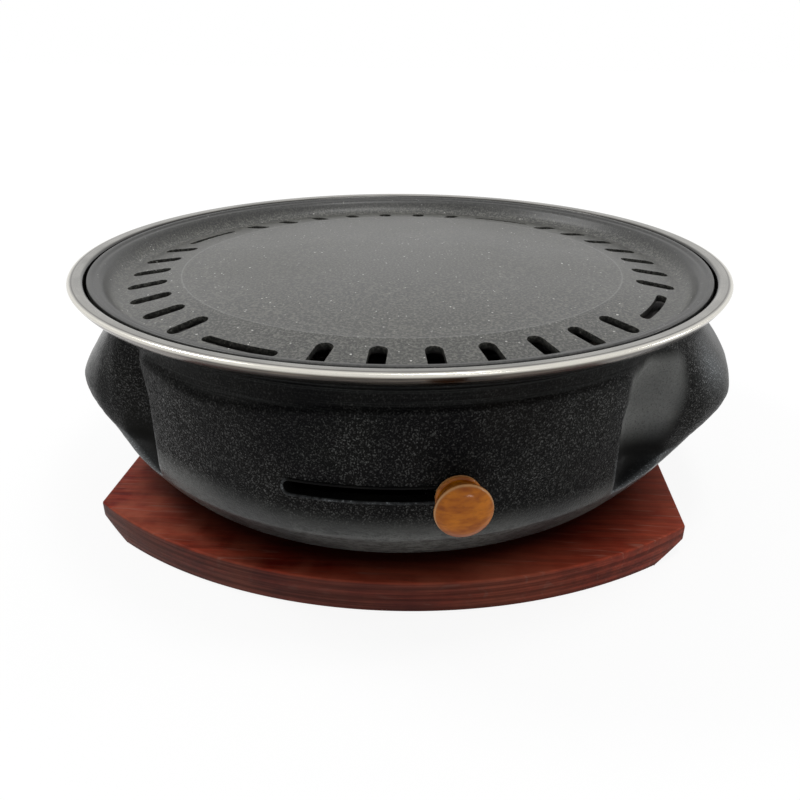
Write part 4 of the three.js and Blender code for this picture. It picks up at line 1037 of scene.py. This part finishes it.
def slot_cutter():
    """A closed body through the front wall in the slot's shape."""
    line = slot_outline(SLOT_HEIGHT)
    n = len(line)
    points = np.concatenate([around(line[:, 0], r, SLOT_Z + line[:, 1]) for r in SLOT_CUT])
    faces = band_faces(list(range(n)), list(range(n, 2 * n)))
    for base in (0, n):
        for k in range(n // 2):
            faces.append((base + k, base + (k + 1) % n, base + (n - 2 - k) % n, base + (n - 1 - k) % n))
    cutter = mesh_piece("slot_cutter", points, faces)
    work = bmesh.new()
    work.from_mesh(cutter.data)
    bmesh.ops.remove_doubles(work, verts=work.verts, dist=1e-6)
    bmesh.ops.dissolve_degenerate(work, edges=work.edges, dist=1e-7)
    work.to_mesh(cutter.data)
    work.free()
    return face_outwards(cutter)


def slot_bead():
    """The raised smooth edge round the air slot."""
    line = slot_outline(SLOT_HEIGHT + BEAD_GAP, 0.2, steps=16)
    n, sides, thick = len(line), 10, BEAD_THICK
    flat = np.column_stack((np.radians(line[:, 0]) * WALL_RADIUS, line[:, 1]))
    ahead = np.roll(flat, -1, axis=0) - np.roll(flat, 1, axis=0)
    ahead /= np.linalg.norm(ahead, axis=1)[:, None]
    out = np.stack((ahead[:, 1], -ahead[:, 0]), axis=-1)
    t = 2 * math.pi * np.arange(sides) / sides
    spots = flat[:, None] + out[:, None] * (thick * np.cos(t))[None, :, None]
    turn = np.degrees(spots[..., 0] / WALL_RADIUS).ravel()
    points = around(turn, np.tile(WALL_RADIUS + 0.1 + thick * np.sin(t), n), SLOT_Z + spots[..., 1].ravel())
    numbers = [list(range(k * sides, (k + 1) * sides)) for k in range(n)]
    faces = [face for low, high in zip(numbers, numbers[1:] + numbers[:1]) for face in band_faces(low, high)]
    bead = face_outwards(mesh_piece("slot_edge_bead", points, faces, crease=60))
    # the bead's lower side and its left end are painted pale: painted highlights
    low = smooth_step(1.8, 3.0, SLOT_Z - points[:, 2])
    end = smooth_step(-SLOT_LEFT_ANGLE, -SLOT_LEFT_ANGLE + 1.2, turn)
    ragged = np.array([0.5 + 0.9 * noise.noise(Vector(place * 0.55)) for place in points])
    store(bead, "pale_marks", np.clip(np.maximum(0.55 * low, 0.7 * (1 - end) * (turn < -10)) * ragged, 0, 1))
    return bead


shell_piece = shell()
cut(shell_piece, slot_cutter())
shell_piece.data.set_sharp_from_angle(angle=math.radians(40))
stand_for(shell_piece, "shell", "cast_shell", BLACK_CASTING)
bead = finish_with(slot_bead(), BLACK_CASTING)
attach(bead, "shell")


# ---- liner and grate -----------------------------------------------------------------

def sector_cutter(low, high):
    """One air opening, on the front line."""
    left, right = -90 - AIR_HALF_ANGLE, -90 + AIR_HALF_ANGLE
    outline = arc(0, 0, AIR_INNER, right, left, 8) + arc(0, 0, AIR_OUTER, left, right, 16)
    return prism("air_opening", outline, low, high)


def fire_bowl():
    """The liner: flanged cast bowl with six air openings in its floor."""
    r, low, top = LINER_RADIUS, LINER_FLOOR, LINER_TOP
    outline = rounded([
        (LINER_BORE, low, 0.6), (r - 48, low, 4), (r - 27.8, low + 4, 5), (r - 11.5, low + 14, 6),
        (r - 2.9, low + 29, 8), (r, low + 43, 6), (r, top - 4, 1.5), (LINER_FLANGE, top - 4, 0.8),
        (LINER_FLANGE, top, 1), (r - 5.5, top, 1.5), (r - 5.5, low + 43, 6), (r - 8.4, low + 29, 8),
        (r - 17, low + 18, 6), (r - 33.3, low + 9, 6), (r - 53.5, low + 5, 4), (LINER_BORE, low + 5, 0.6)], 4)
    bowl = revolved("liner_bowl", outline, 240)
    cut(bowl, set_round(sector_cutter(LINER_FLOOR - 3.7, LINER_FLOOR + 10.3), 6, 1, 0.0, KNOB_ANGLE, BARE_CASTING))
    return bowl


def grate():
    """The slotted disc that the charcoal lies on."""
    low, high, radius = GRATE_BOTTOM, GRATE_TOP, GRATE_RADIUS
    outline = rounded([(0, low), (radius, low, 0.8), (radius, high, 1.2), (0, high)], 4)
    disc = revolved("grate_disc", outline, 160, closed=False)
    for row in range(-5, 6):
        y, end = row * GRATE_PITCH, GRATE_SLOT / 2
        half = math.sqrt((radius - GRATE_MARGIN) ** 2 - y ** 2) - end
        outline = arc(half, y, end, -90, 90, 8) + arc(-half, y, end, 90, 270, 8)
        cut(disc, prism("grate_slot", outline, low - 2, high + 2))
    return soften(disc, 0.5)


def grate_legs():
    """Four short legs under the outermost full bars."""
    y, low, high = LEG_ROW, LEG_BOTTOM, GRATE_BOTTOM + 0.2
    x = math.sqrt(LEG_CIRCLE ** 2 - y ** 2)
    outline = [(0, low), (3.0, low), (3.6, low + 0.6), (4.4, high), (0, high)]
    legs = revolved("grate_legs", outline, 24, closed=False)
    whole = bmesh.new()
    for sx, sy in ((1, 1), (-1, 1), (-1, -1), (1, -1)):
        part = bmesh.new()
        part.from_mesh(legs.data)
        bmesh.ops.translate(part, verts=part.verts, vec=Vector((sx * x, sy * y, 0)) * MM)
        moved = bpy.data.meshes.new("leg")
        part.to_mesh(moved)
        part.free()
        whole.from_mesh(moved)
        bpy.data.meshes.remove(moved)
    whole.to_mesh(legs.data)
    whole.free()
    return legs


stand_for(fire_bowl(), "liner", "fire_bowl", BARE_CASTING)
stand_for(grate(), "grate", "charcoal_grate", BARE_CASTING)
legs = finish_with(grate_legs(), BARE_CASTING)
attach(legs, "grate")


# ---- trim ring -----------------------------------------------------------------------

def trim_ring():
    """Spun stainless ring: locating lip, ledge, hollow band and rolled edge."""
    bore, seat, r, top = RING_BORE, RING_SEAT, RING_RADIUS, cad_high[2] / MM
    outline = rounded([
        (bore, RING_LIP, 0.4), (bore + 1.45, RING_LIP, 0.4), (bore + 1.45, seat, 0.8), (bore + 8, seat, 1.2),
        (r - 4.8, seat + 1.3, 2), (r - 2.5, seat + 3.5, 2), (r - 0.6, top - 2, 1.2), (r, top - 0.8, 0.6),
        (r - 0.6, top - 0.15, 0.7), (r - 2.4, top - 0.02, 0.9), (r - 6, top - 0.3, 0.6), (r - 7.1, top - 1.1, 0.6),
        (r - 7.6, top - 4.2, 1.5), (r - 8.1, RING_LEDGE, 0.8), (bore, RING_LEDGE, 0.5)])
    return revolved("ring_band", outline, 360, crease=50)


stand_for(trim_ring(), "ring", "trim_ring", POLISHED_STEEL)


# ---- grill plate ---------------------------------------------------------------------

def radial_drain():
    """Cutter for one radial drain slot, on the front line."""
    outline = arc(0, -DRAIN_TO, DRAIN_HALF_WIDTH, 180, 360, 14) + arc(0, -DRAIN_FROM, DRAIN_HALF_WIDTH, 0, 180, 14)
    return prism("radial_drain", outline, *DRAIN_CUT)


def long_drain():
    """Cutter for one long drain slot that follows the plate's edge."""
    radius, half_width, half = LONG_DRAIN_RADIUS, LONG_DRAIN_HALF_WIDTH, LONG_DRAIN_HALF_ANGLE
    turn = math.radians(half)
    right = (radius * math.sin(turn), -radius * math.cos(turn))
    outline = arc(0, 0, radius + half_width, -90 - half, -90 + half, 20)
    outline += arc(*right, half_width, -90 + half, 90 + half, 8)[1:-1]
    outline += arc(0, 0, radius - half_width, -90 + half, -90 - half, 20)
    outline += arc(-right[0], right[1], half_width, 90 - half, 270 - half, 8)[1:-1]
    return prism("long_drain", outline, *DRAIN_CUT)


def grill_plate():
    """Domed plate: crease, cone with drains, channel and rounded rim."""
    dome = [(r, CREASE_TOP + DOME_RISE * (1 - (r / CREASE_RADIUS) ** 2)) for r in np.linspace(0, 112, 15)]
    r, top, seat, low, crease = PLATE_RADIUS, PLATE_TOP, PLATE_SEAT, CHANNEL_TOP, CREASE_TOP
    beyond = rounded([
        (CREASE_RADIUS, crease + 0.12, 1.2), (120, 115.38), (126, 114.57), (133, 113.63), (138, 112.96),
        (CHANNEL_EDGE, low + 0.05, 2), (CHANNEL_RADIUS, low, 2.5), (148.8, low + 2.5, 2), (r - 7, top - 2.5, 1.6),
        (r - 5.2, top - 1.2, 0.8), (r - 3.3, top - 1.1, 0.6), (r - 2.3, top - 0.2, 0.7), (r - 1.2, top, 0.5),
        (r - 0.3, top - 0.2, 0.5), (r, top - 1.3, 0.6), (r, seat + 1.2, 1.0), (r - 1.4, seat, 0.6),
        (150.3, seat, 0.6), (146.9, low - 1, 1.5), (CHANNEL_RADIUS, low - PLATE_THICK, 1),
        (141.6, low - PLATE_THICK, 2), (CREASE_RADIUS, crease - PLATE_THICK, 3), (60, crease - 1.1, 10),
        (0, crease + DOME_RISE - PLATE_THICK)])
    line = dome + beyond
    plate = revolved("plate_disc", line, 360, closed=False, crease=35)
    cut(plate, set_round(radial_drain(), 4, 7, 10.0, 20.2, COATED_PLATE))
    cut(plate, set_round(long_drain(), 4, 1, 0.0, 65.2, COATED_PLATE))
    soften(plate, 0.35, angle=50)
    places = np.array([v.co[:] for v in plate.data.vertices]) / MM
    radii = np.hypot(places[:, 0], places[:, 1])
    surface = np.interp(radii, [0, CREASE_RADIUS, CHANNEL_EDGE, CHANNEL_RADIUS, 148.6],
                        [crease + DOME_RISE, crease + 0.1, low + 0.05, low, low + 1.6])
    # painted shade for the drains' walls and the rim's outer edge
    drains = smooth_step(0.3, 0.8, surface - places[:, 2]) * (radii < 150)
    store(plate, "painted_shade", np.maximum(drains, 0.7 * smooth_step(147, 152, radii)))
    return plate


stand_for(grill_plate(), "plate", "grill_plate", COATED_PLATE)


# ---- knob ----------------------------------------------------------------------------

def knob():
    """The turned wooden knob at the damper's resting end."""
    b, r, t = KNOB_BASE_RADIUS, KNOB_RADIUS, KNOB_LENGTH
    outline = rounded([
        (0, 6.8), (3.75, 6.8, 0.2), (3.75, 0, 0.3), (b - 0.2, 0, 0.6), (b, 1.2, 0.6), (b, 2.3, 0.5),
        (b - 0.9, 2.8, 0.3), (b - 0.8, 3.3, 0.3), (b - 0.1, 3.9, 0.6), (b - 0.2, 5.2, 1.5),
        (r - 1.2, 8.2, 1.5), (r, 10.6, 1.2),
        (r - 0.1, 11.6, 0.5), (r - 0.7, 12.5, 0.8), (r * 0.74, t - 1.1, 2), (r * 0.45, t - 0.3, 2), (0, t)])
    piece = revolved("knob_turned", outline, 96, closed=False, crease=60)
    places = np.array([v.co[:] for v in piece.data.vertices]) / MM
    radii, heights = np.hypot(places[:, 0], places[:, 1]), places[:, 2]
    rim = bell(radii - (r - 0.2), 0.5) * bell(heights - 11.6, 0.6)
    base = 0.7 * bell(radii - b, 0.5) * bell(heights - 1.0, 0.9)
    store(piece, "pale_marks", np.clip(rim + base, 0, 1))
    lay = Matrix.Rotation(math.radians(90), 4, "X")
    out = Matrix.Translation(Vector((0, -KNOB_BASE, SLOT_Z)) * MM)
    turn = Matrix.Rotation(math.radians(KNOB_ANGLE), 4, "Z")
    piece.data.transform(turn @ out @ lay)
    return piece


stand_for(knob(), "damper", "wooden_knob", AMBER_KNOB)


# ---- small metal pieces keep their solids --------------------------------------------

for node in ("pivot_screw", "pivot_washer", "damper_disc", "damper_arm", "arm_rivet_inner", "arm_rivet_outer",
             "knob_screw", "knob_washer", "slot_sleeve"):
    finish_with(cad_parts[node], PLATED_STEEL)
finish_with(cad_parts["knob_insert"], PLAIN_BRASS)


# ---- stage, lights and camera --------------------------------------------------------

def seen_directly(n):
    """1 for what the camera, a reflection or a clear piece shows."""
    path = n.node("ShaderNodeLightPath").outputs
    mirrored = n.maths("MAXIMUM", path["Is Glossy Ray"], path["Is Transmission Ray"])
    return n.maths("MAXIMUM", path["Is Camera Ray"], mirrored)


def white_floor():
    """A white floor under the tray that still takes its shadow."""
    reach, level = 6000, -0.3
    corners = [(x, y, level) for x, y in ((-reach, -reach), (reach, -reach), (reach, reach), (-reach, reach))]
    piece = mesh_piece("floor", corners, [(0, 1, 2, 3)])
    n = Finish("white_floor")
    away = n.vector("LENGTH", n.where).outputs["Value"]
    near = n.remap(away, 0.25, 0.6, 0.86, 1.0)
    glow = n.node("ShaderNodeEmission", {"Color": (1, 1, 1), "Strength": 1.04}).outputs[0]
    mix = n.node("ShaderNodeMixShader", {0: n.product(near, seen_directly(n)), 1: n.shader.outputs[0], 2: glow})
    n.feed(n.tree.nodes["Material Output"].inputs[0], mix.outputs[0])
    finish_with(piece, n.done(Base_Color=(0.8, 0.8, 0.8), Roughness=0.9, Specular_IOR_Level=0.1))


def white_world():
    """Soft surrounding light, white where it is seen directly or in a reflection."""
    world = bpy.data.worlds.new("studio")
    bpy.context.scene.world = world
    world.use_nodes = True
    n = Recipe(world.node_tree)
    n.tree.nodes.clear()
    soft, white = [n.node("ShaderNodeBackground", {"Color": (1, 1, 1), "Strength": strength}).outputs[0]
                   for strength in (0.55, 1.0)]
    mix = n.node("ShaderNodeMixShader", {0: seen_directly(n), 1: soft, 2: white})
    n.node("ShaderNodeOutputWorld", {0: mix.outputs[0]})


def softbox(name, place, target, size, power):
    """A soft area lamp that looks at a point."""
    data = bpy.data.lights.new(name, "AREA")
    data.shape = "RECTANGLE"
    data.size = data.size_y = size
    data.energy = power
    lamp = bpy.data.objects.new(name, data)
    lamp.location = place
    lamp.rotation_mode = "QUATERNION"
    lamp.rotation_quaternion = (Vector(target) - Vector(place)).to_track_quat("-Z", "Y")
    bpy.context.scene.collection.objects.link(lamp)


def photo_camera():
    """The photograph's view, 35 mm lens a little above the table's edge."""
    place = Vector((33.41, -406.92, 226.90)) * MM
    ahead = Vector((-0.0489, 0.9082, -0.4157)).normalized()
    right = Vector((0.9986, 0.0537, 0)).normalized()
    up = right.cross(ahead).normalized()
    roll = -0.011
    side = right * math.cos(roll) - up * math.sin(roll)
    top = right * math.sin(roll) + up * math.cos(roll)
    data = bpy.data.cameras.new("camera")
    data.lens, data.sensor_width = 34.746, 36.0
    data.shift_x, data.shift_y = -0.0292, -0.0126
    data.clip_start, data.clip_end = 0.01, 20
    camera = bpy.data.objects.new("camera", data)
    bpy.context.scene.collection.objects.link(camera)
    turn = Matrix((side, top, -ahead)).transposed().to_4x4()
    camera.matrix_world = Matrix.Translation(place) @ turn
    bpy.context.scene.camera = camera


white_floor()
white_world()
for name, place, aim, size, power in (
        ("overhead", (0.2, -0.1, 1.3), 0.08, 0.25, 4.0),
        ("left_window", (-0.8, 0.15, 1.05), 0.08, 0.3, 4.8),
        ("right_window", (1.0, 0.1, 0.5), 0.08, 0.2, 1.2),
        ("front_window", (0.85, -1.5, 0.35), 0.06, 0.3, 2.5)):
    softbox(name, place, (0, 0, aim), size, power)
photo_camera()
bpy.context.scene.view_settings.view_transform = "Standard"
